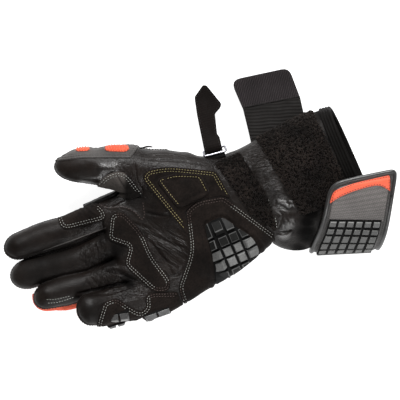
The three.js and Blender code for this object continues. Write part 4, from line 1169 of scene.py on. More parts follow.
def skin_shape(points, normals):
    """How far each point of the skin is moved out by swellings, folds, wrinkles and seams."""
    lift = swell(points)
    palm_side = facing_up(normals)
    for path, height, width in FOLDS:
        path = smooth_path(path)
        near = near_path(points, path, 3 * width)
        distance, place = path_place(points[near, :2], path)
        q = (distance / width) ** 2
        shape = np.exp(-q) * (1 - 0.8 * q if height < 0 else 1)
        lift[near] += height * shape * np.sqrt(np.sin(np.pi * place)) * palm_side[near]
    for number, area in enumerate(WRINKLES):
        stretched, fade = along_wrinkles(points, area)
        near = np.flatnonzero(fade > 0.02)
        ridged = 1 - 3.2 * np.abs(rough(stretched[near], 1, number + 30))
        lift[near] += 0.5 * area[6] * ridged * fade[near] * palm_side[near]
    for path in SEAM_LINES:
        near = near_path(points, path, 4)
        distance = path_distance(points[near], path)
        lift[near] += 0.75 * bell(distance, 0, 0.9) - 0.3 * bell(distance, 2.2, 1.0)
    for height, size, seed in LUMPS:
        lift += height * rough(points, size, seed)
    return lift


def area_weights(points, areas, lowest):
    """From 0 outside all areas to each one's strength at its centre, above a height."""
    weight = np.zeros(len(points))
    for x, y, reach, strength in areas:
        share = np.clip(1.25 * (1 - np.hypot(points[:, 0] - x, points[:, 1] - y) / reach), 0, 1)
        weight = np.maximum(weight, strength * share * share * (3 - 2 * share) * (points[:, 2] > lowest))
    return weight


def creased_at(points):
    """From 0 at the smooth ends of the fingers to 1 on the palm."""
    ends = np.clip((points[:, 0] + 165) / 30, 0, 1)
    thumb = np.clip((points[:, 0] + 115) / 25, 0, 1)
    return np.where(points[:, 1] > 52, thumb, ends)


def skin_surface(field, low, high, step, inner=False):
    """The skin's outer face, or the lining's."""
    axes = [np.arange(a, b + step, step) for a, b in zip(low, high)]
    distance, height = field(axes), axes[2]
    if inner:
        values = -smooth_min(-(distance + WALL), height - WALL, 1.0)
    else:
        values = -smooth_min(-distance, height, 2.5)
    points, tris = surface_nets(values, axes)
    points = relax(points, tris, 3)
    normals = vertex_normals(points, tris)
    lift = swell(points) if inner else skin_shape(points, normals)
    lift *= np.clip(points[:, 2] / 2, 0, 1)
    return with_normals(points + normals * lift[:, None], tris)


def make_skin(name, field, low, high, cuts, replaces):
    """A leather shell with its lining: outer skin, inner skin, and the rims where planes cut it."""
    whole = skin_surface(field, low, high, SKIN_STEP)
    parts = [whole, skin_surface(field, low, high, LINING_STEP, True)]
    for plane in cuts:
        parts = [clip(*part, plane(part[0])) for part in parts]
    (outer, outer_tris), (lining, lining_tris) = parts
    data = np.vstack([outer, lining])
    faces = [outer_tris, lining_tris[:, ::-1] + len(outer)]
    for plane, forward in cuts.items():
        one = cut_row(outer, outer_tris, plane)
        two = cut_row(lining, lining_tris, plane) + len(outer)
        if len(one) and len(two):
            faces.append(bridge(data, one, two, forward))
    points = data[:, :3]
    points[:, 2] = np.maximum(points[:, 2], 0)
    kinds = np.concatenate([np.full(len(part), int(k == 1)) for k, part in enumerate(faces)])
    piece = add_mesh(name, points, np.concatenate(faces), [LEATHER, LINING], "black_leather", replaces,
                     face_material=kinds)
    flow, depth = wrinkle_flow(points, facing_up(data[:, 3:6]))
    # Painted shade on the skin, which its material reads as "shade".
    shade = area_weights(points, PAINTED_SHADE_AREAS, 8)
    creased = creased_at(points)
    gloss = np.maximum(area_weights(points, GLOSSY_AREAS, 14), PALM_GLOSS * creased * (1 - shade))
    add_attributes(piece, gloss=gloss, shade=shade, creased=creased, flow=flow, wrinkled=depth)
    return whole


def hand_end(data):
    return data[:, 0] - WRIST_X + WRIST_GAP


def cuff_start(data):
    return WRIST_X + WRIST_GAP - data[:, 0]


def mouth_plane(data):
    return (data[:, :3] - MOUTH) @ MOUTH_AXIS


def both_fields(axes):
    return np.minimum(hand_field(axes), cuff_field(axes))


hand = make_skin(
    "hand_leather", hand_field, (-214, -92, -3.3), (15.5, 101, 58), {hand_end: False},
    ["hand_shell", "index_finger", "middle_finger", "ring_finger", "little_finger", "thumb_shell"],
)
cuff = make_skin(
    "cuff_leather", cuff_field, (8.5, -86, -3.3), (116, 42, 72), {cuff_start: True, mouth_plane: False},
    ["cuff_shell"],
)
wrist = skin_surface(both_fields, (-40, -92, -3.3), (60, 60, 70), SKIN_STEP)
hand_tree, cuff_tree = tree_of(*hand), tree_of(*cuff)


# Pieces sewn onto the skin

def largest_part(data, tris):
    """The largest connected part of a mesh."""
    label = np.arange(len(data))
    edges = all_edges(tris)
    while True:
        low = np.minimum(label[edges[:, 0]], label[edges[:, 1]])
        newer = label.copy()
        np.minimum.at(newer, edges[:, 0], low)
        np.minimum.at(newer, edges[:, 1], low)
        newer = newer[newer]
        if (newer == label).all():
            break
        label = newer
    owner = label[tris[:, 0]]
    return compact(data, tris[owner == np.bincount(owner).argmax()])


def region(base, low, high, fine=1):
    """The part of a surface inside a plan box, with its triangles split."""
    data, tris = base
    near = np.all((data[:, :2] > low) & (data[:, :2] < high), axis=1)
    data, tris = compact(data, tris[near[tris].any(1)])
    for _ in range(fine):
        data, tris = subdivide(data, tris)
    data[:, 3:6] = unit(data[:, 3:6])
    return data, tris


threads = {"pale": [], "yellow": [], "dim": [], "dark": []}  # places, directions and normals of stitches
STITCH_PITCH = 2.4
STEEPEST_SEAM = 0.2  # the least upward part of a normal where a line is still sewn
# Plan boxes in which pale stitches have dim thread: low corner, high corner.
DIM_PLACES = [
    ((-49, -11), (-5, 6)), ((-103, -4), (-86, 26)), ((-105, -70), (-78, -50)), ((-136, -52), (-121, -40)),
]


def sew_plan(path, tree, thread, closed=False):
    """Stitches along a line seen from above, laid on a surface."""
    if len(path) < 2:
        return
    for (x, y), (dx, dy) in zip(*resample(path, STITCH_PITCH, closed)):
        hit, normal = dropped(tree, x, y)
        if hit is None or normal.z <= STEEPEST_SEAM:
            continue
        dim = thread == "pale" and any(a < x < c and b < y < d for (a, b), (c, d) in DIM_PLACES)
        threads["dim" if dim else thread].append((hit, Vector((dx, dy, 0)), normal))


def sew_near(path, tree, thread):
    """Stitches along a line in space, laid on the nearest surface."""
    for place, direction in zip(*resample(path, STITCH_PITCH)):
        hit, normal, _, _ = tree.find_nearest(Vector(place))
        threads[thread].append((hit, Vector(direction), normal))


def longest_run(near):
    """Places of the longest run of true values along a closed path."""
    if near.all():
        return np.arange(len(near))
    order = np.roll(np.arange(len(near)), -np.flatnonzero(~near)[0])
    runs = np.split(order, np.flatnonzero(np.diff(near[order].astype(int))) + 1)
    return max((run for run in runs if near[run[0]]), key=len)


def edge_profile(edge, radius):
    """How far a rounded border has risen at a distance from its edge, from 0 to 1."""
    return np.sqrt(np.maximum(1 - (1 - np.clip(edge / radius, 0, 1)) ** 2, 0))


PATCH_ROUNDING = 0.9
PUFF_REACH = 7  # distance from its edge over which a padded piece swells
GROOVE_DEPTH = 0.35
GROOVE_WIDTH = 0.6
PATCH_SUNK = 0.6  # how far a sewn piece reaches into what it is sewn on
tops = {}  # upper faces of the pieces made so far


def sew_patch(name, base, corners, lowest, material, slot, replaces=(), thickness=PATCH, low=0.0, puff=0.45,
              rows=(0.6, 2.7), thread="pale", limit=None, fine=1, relief=None, ceiling=None,
              grow=0.0, sewn=None, shade=None):
    """A piece of leather sewn on: it follows the surface below, with rounded edges and seam grooves.

    It lies inside its corners and above its lowest height. The rows are seams at distances from its
    border, all round or only near the path sewn.
    """
    outline = rounded(corners)
    data, tris = region(base, outline.min(0) - 3, outline.max(0) + 3, fine)

    def value_of(data):
        value = np.maximum(outline_distance(data[:, :2], outline) - grow, lowest - data[:, 2])
        if ceiling is not None:
            value = np.maximum(value, data[:, 2] - ceiling)
        return value if limit is None else np.maximum(value, limit(data))

    data, tris = largest_part(*clip(data, tris, value_of(data)))
    edge = np.maximum(-value_of(data), 0)
    lift = low + thickness * edge_profile(edge, PATCH_ROUNDING) + puff * (1 - bell(edge, 0, PUFF_REACH))
    sewn_line = None if sewn is None else np.array(sewn, float)
    for row in rows:
        groove = GROOVE_DEPTH * bell(edge, row + grow, GROOVE_WIDTH)
        if sewn is not None:
            groove *= path_distance(data[:, :2], sewn_line) < row + 3
        lift -= groove
    if relief is not None:
        lift += relief(data, edge)
    points, faces = slab(data[:, :3], unit(data[:, 3:6]), tris, lift, low - PATCH_SUNK, HIDDEN_CELL)
    piece = add_mesh(name, points, faces, material, slot, replaces)
    # Painted shade that the piece's material reads.
    if shade is not None:
        add_attributes(piece, shade=shade(points), creased=np.ones(len(points)))
    tops[name] = with_normals(points[:len(data)], tris)
    tree = tree_of(*tops[name])
    for row in rows:
        path = inset_path(outline, row)
        if sewn is None:
            sew_plan(path, tree, thread, closed=True)
            continue
        near = path_distance(path, sewn_line) < row + 1.4
        run, trim = longest_run(near), int(row * 2.5)
        sew_plan(path[run if near.all() else run[trim:-trim]], tree, thread, closed=near.all())
    return piece


def soft_relief(size, height, seed):
    return lambda data, edge: height * rough(data[:, :3], size, seed)


slider_outline = rounded(PALM_SLIDER)


def heel_relief(data, edge):
    """A raised rim along the border and a swelling round the slider."""
    beyond = outline_distance(data[:, :2], slider_outline)
    ring = 0.9 * bell(beyond, 3.6, 1.8) - 0.5 * bell(beyond, 0.6, 1.0)
    return 0.35 * rough(data[:, :3], 9, 7) + ring + 0.7 * bell(edge, 1.8, 0.9)


def index_relief(data, edge):
    """Wrinkles across the index patch."""
    x, y = data[:, 0], data[:, 1]
    waves = np.sin((0.85 * x + 0.5 * y + 1.2 * rough(data[:, :3], 6, 9)) * 2 * np.pi / 4.2)
    return 0.3 * rough(data[:, :3], 9, 3) + 0.45 * waves * bell(x, -123, 9)


def pad_relief(data, edge):
    return 0.7 * bell(edge, 1.3, 1.2) - 0.5 * bell(edge, 4.2, 1.3)


def web_shade(points):
    """Painted shade, dark beyond the crease of the thumb web."""
    beyond = (12 * (points[:, 0] + 84.5) - 7 * (points[:, 1] - 49)) / 13.9
    return 0.9 * np.clip(beyond / 4, 0, 1)


# Suede pieces: node, outline, lowest height, thread, and the part of the border that is sewn.
SUEDE_PIECES = [
    ("index_patch", INDEX_PATCH, 16, "pale",
     [(-150, 43), (-151, 28.5), (-129, 24.5), (-114, 22), (-111.5, 28), (-114.5, 35.5)]),
    ("palm_centre_patch", PALM_CENTRE_PATCH, 20, "pale", None),
    ("thenar_patch", THENAR_PATCH, 24, "yellow",
     [(-54.4, -11.5), (-69, 41), (-63, 45), (-46, 41), (-10, 21), (-7.4, 0)]),
    ("palm_heel_patch", HEEL_PATCH, 12, "pale",
     [(-66, -79), (-80, -74), (-79, -59), (-58, -34), (-50, -14), (-46, 0.2), (-34, 3.5), (-12, -1.5),
      (14, -50)]),
    ("thumb_web_patch", THUMB_WEB_PATCH, 26, "pale",
     [(-106, 52.5), (-97, 55.5), (-86, 54.5), (-80, 48), (-75.8, 30)]),
    ("ulnar_patch", ULNAR_PATCH, 8, "pale",
     [(-158, -62), (-143, -44.5), (-132, -45), (-125, -57), (-118, -66), (-110.5, -63), (-108, -54),
      (-101, -54), (-82, -62)]),
]
RELIEFS = {"palm_heel_patch": heel_relief, "index_patch": index_relief}
for seed, (node, corners, lowest_point, thread, sewn) in enumerate(SUEDE_PIECES, 3):
    # The thumb web gets the lighter suede with painted light, and painted shade beyond its crease.
    lit = node == "thumb_web_patch"
    sew_patch(node.replace("_patch", "_suede"), hand, corners, lowest_point, WEB_SUEDE_PAINTED_LIGHT if lit else SUEDE,
              "brown_suede", [node], thread=thread, relief=RELIEFS.get(node, soft_relief(9, 0.4, seed)),
              grow=1.0, sewn=sewn, shade=web_shade if lit else None)

pad = sew_patch("thenar_cushion", tops["thenar_suede"], THENAR_PAD, 30, SUEDE,
                "brown_suede", ["thenar_pad"], thickness=1.2, puff=1.6, rows=(1.2,), thread="yellow",
                relief=pad_relief, grow=1.0, fine=0,
                sewn=[(-51, 5.5), (-55.5, 24), (-57, 33), (-42, 32.5), (-23, 23.5), (-22, 10)])

sew_patch("thumb_back_leather", hand, THUMB_BACK_PANEL, 14, GREY_LEATHER, "grey_leather",
          ["thumb_back_panel"], rows=(1.2, 3.0), thread="dark")
sew_patch("index_edge_leather", hand, INDEX_EDGE_STRIP, 12, EDGE_LEATHER, "black_leather",
          ["index_edge_strip"], thickness=2.8, rows=(), ceiling=EDGE_STRIP_TOP)
sew_patch("ring_back_leather", hand, RING_BACK_PANEL, 2, RED, "red_leather", ["ring_back_panel"],
          thickness=5.2, rows=(), limit=lambda data: 0.6 - limb_distance(data[:, :3], "little"),
          ceiling=RING_PANEL_TOP)


def outward_frame(heading, lean):
    """Directions of a piece that faces out of the leather: level, up the slope, outward."""
    turn, rise = math.radians(heading), math.radians(lean)
    outward = np.array([math.cos(turn) * math.cos(rise), math.sin(turn) * math.cos(rise), math.sin(rise)])
    along = np.array([-math.sin(turn), math.cos(turn), 0])
    return along, np.cross(outward, along), outward


RIB_PITCH = 2.3
RIB_DEPTH = 1.2
PAD_HEIGHT = 2.0


def make_red_pad(name, place, heading, lean, length, width):
    along, up, outward = outward_frame(heading, lean)

    def in_pad(data):
        """Place along the pad, and how far inside its rounded outline."""
        local = (data[:, :3] - place) @ np.stack([along, up], 1)
        beyond = np.maximum(np.abs(local[:, 0]) - (length - width) / 2, 0)
        return local[:, 0], width / 2 - np.hypot(beyond, local[:, 1])

    centre = np.array(place[:2])
    data, tris = region(tops["thumb_back_leather"], centre - 18, centre + 18)
    value = np.maximum(-in_pad(data)[1], 0.2 - data[:, 3:6] @ outward)
    data, tris = largest_part(*clip(data, tris, value))
    x, inside = in_pad(data)
    edge = np.maximum(inside, 0)
    ribs = 0.5 - 0.5 * np.cos(2 * np.pi * x / RIB_PITCH)
    lift = 0.2 + PAD_HEIGHT * edge_profile(edge, 1.4) - RIB_DEPTH * ribs * edge_profile(edge, 1.2)
    points, faces = slab(data[:, :3], unit(data[:, 3:6]), tris, lift, -0.5, HIDDEN_CELL)
    piece = add_mesh(name + "_ribbed", points, faces, RED, "red_leather", [name])


for red_pad in RED_PADS:
    make_red_pad(*red_pad)


# Hard sliders: bevelled blocks on a dark base

def cut_polygon(polygon, axis, limit, sign):
    """The part of a polygon where sign times a coordinate is below sign times the limit."""
    kept = []
    for a, b in zip(polygon, np.roll(polygon, -1, axis=0)):
        da, db = sign * (a[axis] - limit), sign * (b[axis] - limit)
        if da <= 0:
            kept.append(a)
        if (da < 0) != (db < 0) and da != db:
            kept.append(a + (b - a) * da / (da - db))
    return np.array(kept)


def polygon_area(polygon):
    x, y = polygon[:, 0], polygon[:, 1]
    return 0.5 * np.sum(x * np.roll(y, -1) - np.roll(x, -1) * y)


def block(points, normal, height, bevel):
    """A block with a flat bevelled top over a polygon in space."""
    centre = points.mean(0)
    flat = points - np.outer((points - centre) @ normal, normal)
    radius = np.linalg.norm(flat - centre, axis=1).mean()

    def ring(share, up):
        return centre + (flat - centre) * share + normal * up

    return stack([points - normal, ring(1.0, height - bevel), ring(1 - bevel / radius, height)])


def bevel_kinds(count, top=0, edge=1):
    """Material numbers of a block's faces: the bevel round the top has its own."""
    kinds = np.full(count * 6, top)
    kinds[count * 3:count * 5] = edge
    return kinds


BLOCK_HEIGHT = 2.2
BLOCK_BEVEL = 0.75
SMALLEST_BLOCK = 9  # square millimetres of plan


def make_palm_slider():
    sew_patch("palm_slider_base", hand, PALM_SLIDER, 22, SLIDER_BASE, "slider_grey", thickness=1.0,
              low=PATCH + 0.2, rows=(), puff=0, fine=0)
    tree = tree_of(*tops["palm_slider_base"])
    blocks = Bodies()
    columns = [-FAR, *PALM_SLIDER_COLUMNS, FAR]
    lines = [FAR, *PALM_SLIDER_ROWS, -2 * FAR]
    half = SLIDER_GROOVE / 2
    for left, right in zip(columns[:-1], columns[1:]):
        for upper, lower in zip(lines[:-1], lines[1:]):
            cell = rounded(PALM_SLIDER, 4)
            for axis, limit, sign in ((0, left + half, -1), (0, right - half, 1),
                                      (1, lower + half, -1), (1, upper - half, 1)):
                if len(cell) > 2:
                    cell = cut_polygon(cell, axis, limit, sign)
            if len(cell) < 3 or abs(polygon_area(cell)) < SMALLEST_BLOCK:
                continue
            cell = cell if polygon_area(cell) > 0 else cell[::-1]
            middle = cell.mean(0)
            found = [dropped(tree, x, y) for x, y in cell * 0.98 + middle * 0.02]
            hits = [(np.array(hit), np.array(normal)) for hit, normal in found if hit is not None]
            if len(hits) < 3:
                continue
            corners, normals = (np.array(column) for column in zip(*hits))
            # Blocks in these rows get the painted highlight.
            painted_light = SLIDER_HIGHLIGHT_ROWS[0] < middle[1] < SLIDER_HIGHLIGHT_ROWS[1]
            blocks.add(*block(corners, unit(normals.mean(0)), BLOCK_HEIGHT, BLOCK_BEVEL),
                       bevel_kinds(len(corners), 2 if painted_light else 0))
    blocks.make("palm_slider_blocks", [SLIDER, SLIDER_EDGE, SLIDER_PAINTED_HIGHLIGHT], ["palm_slider"])


STUD_BASE = 1.9
STUD_FOOT = 0.6  # how far the base goes beyond the pyramids
STUD_TOP = 4.9


def make_stud(name, place, lean, turn, length, width):
    """Two faceted pyramids on a base."""
    along, up, outward = outward_frame(-90 + turn, lean)
    bodies = Bodies()

    def ring(x0, x1, half_width, height):
        corners = [(x0, -half_width), (x1, -half_width), (x1, half_width), (x0, half_width)]
        return np.array([place + along * x + up * y + outward * height for x, y in corners])

    half = length / 2
    foot = (-half - STUD_FOOT, half + STUD_FOOT, width / 2 + STUD_FOOT)
    base = [ring(*foot, -2), ring(*foot, STUD_BASE), ring(-half, half, width / 2, STUD_BASE + 0.5)]
    bodies.add(*stack(base), 1)
    for end in (-1, 1):
        x0, x1 = sorted((end * 0.8, end * half))
        ridge = ring(x0 + (1.4 if end < 0 else 0.4), x1 - (1.4 if end > 0 else 0.4), 0.5, STUD_TOP)
        # Painted shade: the facets on the palm's side and at the outer end get a darker copy of the stud's
        # grey.
        kinds = np.zeros(24, int)
        for side in (2, 1 if end > 0 else 3):
            kinds[[12 + side, 16 + side]] = 2
        bodies.add(*stack([ring(x0, x1, width / 2, 1.5), ring(x0, x1, width / 2, 2.7), ridge]), kinds)
    bodies.make(name + "_block", [STUD, SLIDER_BASE, STUD_PAINTED_SHADE], [name])


make_palm_slider()
for stud in STUDS:
    make_stud(*stud)


# Looped closure fabric

def spread_points(data, tris, density, rng):
    """Random places on a surface with their normals."""
    a, b, c = (data[tris[:, k], :3] for k in range(3))
    area = np.linalg.norm(np.cross(b - a, c - a), axis=1) / 2
    count = int(area.sum() * density)
    chosen = rng.choice(len(tris), count, p=area / area.sum())
    share = np.sort(rng.random((count, 2)), axis=1)
    weights = np.stack([share[:, 0], share[:, 1] - share[:, 0], 1 - share[:, 1]], 1)
    picked = np.einsum("ij,ijk->ik", weights, data[tris[chosen], :6])
    return picked[:, :3], unit(picked[:, 3:6])


def scatter(template, tris, places, normals, headings, sizes=1.0):
    """Copies of a small mesh, one at each place, its Z along the normal and its X along the heading."""
    headings = unit(headings - normals * np.einsum("ij,ij->i", headings, normals)[:, None])
    frames = np.stack([headings, np.cross(normals, headings), normals], 1) * np.reshape(sizes, (-1, 1, 1))
    points = places[:, None, :] + np.einsum("vk,nkj->nvj", template, frames)
    faces = tris[None] + (np.arange(len(places)) * len(template))[:, None, None]
    return points.reshape(-1, 3), faces.reshape(-1, 3)


PILE_DENSITY = 0.75  # loops in a square millimetre
LOOP_WIRE = 0.27  # radius of a loop's yarn
ARCH_ANGLES = np.linspace(-0.35, math.pi + 0.35, 5)
ARCH_PATH = np.stack([0.75 * np.cos(ARCH_ANGLES), 0 * ARCH_ANGLES, np.sin(ARCH_ANGLES)], 1)
ARCH, ARCH_TRIS = outward_faces(*stack(tube_rings(ARCH_PATH, LOOP_WIRE, 3)))


def make_pile(name, base, corners, lowest, node, seed):
    ground = name + "_ground"
    sew_patch(ground, base, corners, lowest, PILE_BASE, "loop_pile", thickness=1.2, puff=0, rows=(),
              relief=soft_relief(2.2, 0.55, seed))
    rng = np.random.default_rng(seed)
    places, normals = spread_points(*tops[ground], PILE_DENSITY, rng)
    headings = rng.normal(size=places.shape)
    normals = unit(normals + 0.35 * rng.normal(size=places.shape))
    sizes = rng.uniform(0.6, 1.5, len(places))
    points, faces = scatter(ARCH, ARCH_TRIS, places, normals, headings, sizes)
    add_mesh(name + "_loops", points, faces, PILE, "loop_pile", [node])


make_pile("wrist_band", wrist, WRIST_BAND, 26, "wrist_loop_band", 11)
make_pile("cuff_panel", cuff, CUFF_LOOP_PANEL, 30, "cuff_loop_panel", 12)


# Straps and tabs

BAND_STEP = 0.55
STRAP_SEAM_ROW = 1.6
HOOK_SEAM_ROW = 1.5


def plan_grid(low, high, step):
    """A flat grid of triangles in plan."""
    xs, ys = (np.arange(a, b + step, step) for a, b in zip(low, high))
    grid = np.meshgrid(xs, ys, indexing="ij")
    return np.stack(grid, -1).reshape(-1, 2), grid_triangles(len(xs), len(ys))


def height_at(profile, places):
    """Heights of a strap at places along it."""
    return np.interp(places, *np.transpose(profile))


def make_band(name, corners, profile, material, slot, node, relief, to_plan=np.asarray, seam=None):
    """A flat strap cut to an outline across and along it, whose height follows a profile."""
    outline = rounded(corners)
    flat, tris = plan_grid(outline.min(0) - 1, outline.max(0) + 1, BAND_STEP)
    flat, tris = clip(flat, tris, outline_distance(flat, outline))
    edge = np.maximum(-outline_distance(flat, outline), 0)
    curve = curve_rows(profile, np.linspace(0, len(profile) - 1, 120))
    points = np.column_stack([to_plan(flat), height_at(curve, flat[:, 1])])
    half = WEBBING_THICKNESS / 2 * edge_profile(edge, 0.7) + 0.05
    body, faces = slab(points, vertex_normals(points, tris), tris, half + relief(flat, edge), -half)
    piece = add_mesh(name, body, faces, material, slot, [node])
    if seam is not None:
        sew_plan(to_plan(inset_path(outline, seam)), tree_of(body[:len(points)], tris), "dark", closed=True)
    return piece


def strap_plan(flat):
    """From places across and along the strap to the plan."""
    cos, sin = math.cos(STRAP_TURN), math.sin(STRAP_TURN)
    return STRAP_SEAM + flat @ np.array([[cos, -sin], [sin, cos]])


def strap_relief(flat, edge):
    return -0.3 * bell(edge, STRAP_SEAM_ROW, 0.5) + 0.06 * np.sin(flat[:, 1] * 2 * np.pi / 2.0) * (edge > 2)


def hook_relief(flat, edge):
    ribs = np.sin((flat[:, 1] * 0.8 - flat[:, 0] * 0.6) * 2 * np.pi / 2.3)
    return -0.3 * bell(edge, HOOK_SEAM_ROW, 0.5) + 0.3 * ribs * (edge > 2.2)


def elastic_relief(flat, edge):
    across = flat[:, 1] * 0.94 + flat[:, 0] * 0.34
    return 0.32 * np.sin(across * 2 * np.pi / 2.9 + 0.5 * np.sin(flat[:, 0] / 3))


strap = make_band("hook_strap", STRAP_OUTLINE, STRAP_PROFILE, STRAP, "hook_tape", "wrist_strap",
                  strap_relief, strap_plan, STRAP_SEAM_ROW)
tab_hook = make_band("tab_hook", TAB_HOOK, TAB_PROFILE, HOOK, "hook_tape", "tab_hook_patch", hook_relief,
                     seam=HOOK_SEAM_ROW)
tab_band = make_band("tab_stretch_band", TAB_ELASTIC, TAB_PROFILE, ELASTIC, "elastic", "tab_elastic",
                     elastic_relief)


# The ring and its keeper

RING_CORNER = 1.6
KEEPER_CORNER = 2.5


def strap_space(points):
    """From the strap's frame, X across it, Y along it and Z up, to the hand's frame."""
    return np.column_stack([strap_plan(points[:, :2]), points[:, 2]])


def rectangle(width, height, radius, pitch):
    """Points round a rectangle with rounded corners."""
    corners = [(x * width / 2, y * height / 2, radius) for x, y in ((-1, -1), (1, -1), (1, 1), (-1, 1))]
    return resample(rounded(corners, 6), pitch, closed=True)[0]


def make_ring():
    (a0, z0), (a1, z1) = RING_INNER_BAR, RING_OUTER_BAR
    slope = math.atan2(z1 - z0, a1 - a0)
    loop = rectangle(RING_LENGTH - 2.4, math.hypot(a1 - a0, z1 - z0), RING_CORNER, 0.9)
    path = strap_space(np.column_stack([loop[:, 0], (a0 + a1) / 2 + loop[:, 1] * math.cos(slope),
                                        (z0 + z1) / 2 + loop[:, 1] * math.sin(slope)]))
    rings = tube_rings(path, RING_WIRE / 2, 12, closed=True)
    body = np.vstack(rings), np.concatenate(ring_walls(12, len(rings), closed=True))
    add_body("wire_ring", body, SILVER, "silver_wire", ["strap_ring"])


def make_keeper():
    """A roll of tape round the ring's inner bar, a little smaller at its ends."""
    along, up = KEEPER_PLACE
    outer = rectangle(KEEPER_DEPTH, KEEPER_HEIGHT, KEEPER_CORNER, 0.6)
    rings = []
    for share in np.linspace(-1, 1, 25):
        squeeze = 1 - 0.12 * abs(share) ** 6 + 0.012 * math.sin(share * 60)
        rings.append(strap_space(np.column_stack([
            np.full(len(outer), share * KEEPER_LENGTH / 2), along + outer[:, 0] * squeeze,
            up + outer[:, 1] * squeeze,
        ])))
    add_body("ring_keeper_tape", stack(rings), WEBBING, "webbing", ["ring_keeper"])


make_ring()
make_keeper()


# The outer flap

FLAP_SCALE = np.array([58.0, 12.0])  # millimetres across the flap, and along it for each row
FLAP_END = 9.85
HEM = 3.0
GREY_FROM = 7.0  # the row where the flap's black part ends
FLAP_BEVEL = 0.6
FLAP_BASE = 1.2  # thickness of the flap slider under its blocks


def flap_at(u, v):
    """Points and normals on the flap's outer face."""
    u, v = np.broadcast_arrays(np.asarray(u, float), np.asarray(v, float))
    last = len(FLAP_ROWS) - 1

    def point(u, v):
        row = curve_rows(FLAP_ROWS, np.clip(v, 0, last))
        return row[:, :3] * (1 - u[:, None]) + row[:, 3:] * u[:, None]

    ahead, behind = np.minimum(v + 0.02, last), np.maximum(v - 0.02, 0)
    along = point(u, ahead) - point(u, behind)
    across = point(u + 0.02, v) - point(u - 0.02, v)
    return point(u, v), unit(np.cross(across, along))


def flap_grid(low, high, columns, lines):
    """Places on the flap in columns and rows, and their triangles."""
    axes = (np.linspace(low[0], high[0], columns), np.linspace(low[1], high[1], lines))
    u, v = (grid.ravel() for grid in np.meshgrid(*axes, indexing="ij"))
    return np.column_stack([*flap_at(u, v), u, v]), grid_triangles(columns, lines)


route = curve_rows(PIPING_ROUTE, np.linspace(0, len(PIPING_ROUTE) - 1, 200))
flap_border = np.vstack([[route[0, 0], -2], route, [route[-1, 0], -2]])


def flap_edge(data):
    """How far inside the flap's border each place is."""
    return -outline_distance(data[:, 6:8] * FLAP_SCALE, flap_border * FLAP_SCALE)


def make_flap():
    data, tris = flap_grid((0.02, 0), (0.98, FLAP_END), 84, 170)
    data, tris = clip(data, tris, -flap_edge(data))
    edge = np.maximum(flap_edge(data), 0)
    upper = 0.3 * rough(data[:, :3], 16, 21) - 0.35 * bell(edge, HEM, 0.5)
    upper += 0.8 * edge_profile(np.clip(edge - 3.5, 0, 9), 1.0) - 0.3
    inner = -FLAP + 0.2 * rough(data[:, :3], 12, 22)
    body, faces = slab(data[:, :3], data[:, 3:6], tris, upper, inner)
    kinds = np.zeros(len(faces), int)
    kinds[:len(tris)] = (data[tris, 7].mean(1) > GREY_FROM) & (edge[tris].mean(1) > 3.7)
    kinds[len(tris):2 * len(tris)] = 2
    piece = add_mesh("flap_body", body, faces, [FLAP_BLACK, FLAP_GREY, LINING], "flap_grey", ["outer_flap"],
                     face_material=kinds)
    return piece, with_normals(body[:len(data)], tris)


def sew_hem(tree):
    """Stitches along the flap's border, from one end at its seam to the other."""
    hem = inset_path(flap_border * FLAP_SCALE, HEM) / FLAP_SCALE
    hem = hem[(hem[:, 1] > 1.2) & (hem[:, 1] < 9.8)]
    steps = np.linalg.norm(hem - np.roll(hem, 1, axis=0), axis=1)
    hem = np.roll(hem, -np.argmax(steps), axis=0)
    sew_near(flap_at(*hem.T)[0], tree, "dark")


def make_flap_slider():
    blocks = Bodies()
    (u_low, u_high), rows = FLAP_SLIDER_U, FLAP_SLIDER_ROWS
    data, tris = flap_grid((u_low, rows[0]), (u_high, rows[-1]), 40, 50)
    blocks.add(*slab(data[:, :3], data[:, 3:6], tris, FLAP_BASE, -0.3), 1)

    def add_block(u0, u1, v0, v1, height):
        corners, normals = flap_at([u0, u1, u1, u0], [v0, v0, v1, v1])
        normal = unit(normals.mean(0))
        blocks.add(*block(corners + normal * (FLAP_BASE - 0.1), normal, height, FLAP_BEVEL),
                   bevel_kinds(4, 0, 2))

    gap_u, gap_v = FLAP_GROOVE / 2 / FLAP_SCALE
    walls = np.linspace(u_low, u_high, FLAP_SLIDER_COLUMNS + 1)
    for u0, u1 in zip(walls[:-1], walls[1:]):
        for v0, v1 in zip(rows[1:-1], rows[2:]):
            add_block(u0 + gap_u, u1 - gap_u, v0 + gap_v, v1 - gap_v, FLAP_BLOCK_HEIGHT)
    add_block(u_low, u_high, rows[0], rows[1] - gap_v, FLAP_BLOCK_HEIGHT + 0.2)
    blocks.make("flap_slider_blocks", [FLAP_SLIDER, SLIDER_BASE, FLAP_SLIDER_EDGE], ["flap_slider"])


flap, flap_face = make_flap()
sew_hem(tree_of(*flap_face))

piping_points, piping_normals = flap_at(*route.T)
piping_path, _ = resample(piping_points - piping_normals * FLAP / 2, 1.2)
add_body("flap_edge_piping", stack(tube_rings(piping_path, PIPING, 14)), PIPING_LEATHER, "black_leather",
         ["flap_piping"])
sew_patch("flap_red_band", flap_face, FLAP_RED_STRIPE, STRIPE_FLOOR, RED, "red_leather", ["flap_red_stripe"],
          thickness=0.9, rows=(0.9,), thread="dark", puff=0.1)
make_flap_slider()


# Bands that bind the mouth

CUFF_MIDDLE = -20.5  # Y of the mouth's middle
BAND_REACH = 9.5  # how far the bands go up the cuff from its mouth
BAND_PITCH = 2.45
LIP_DEPTH = 7


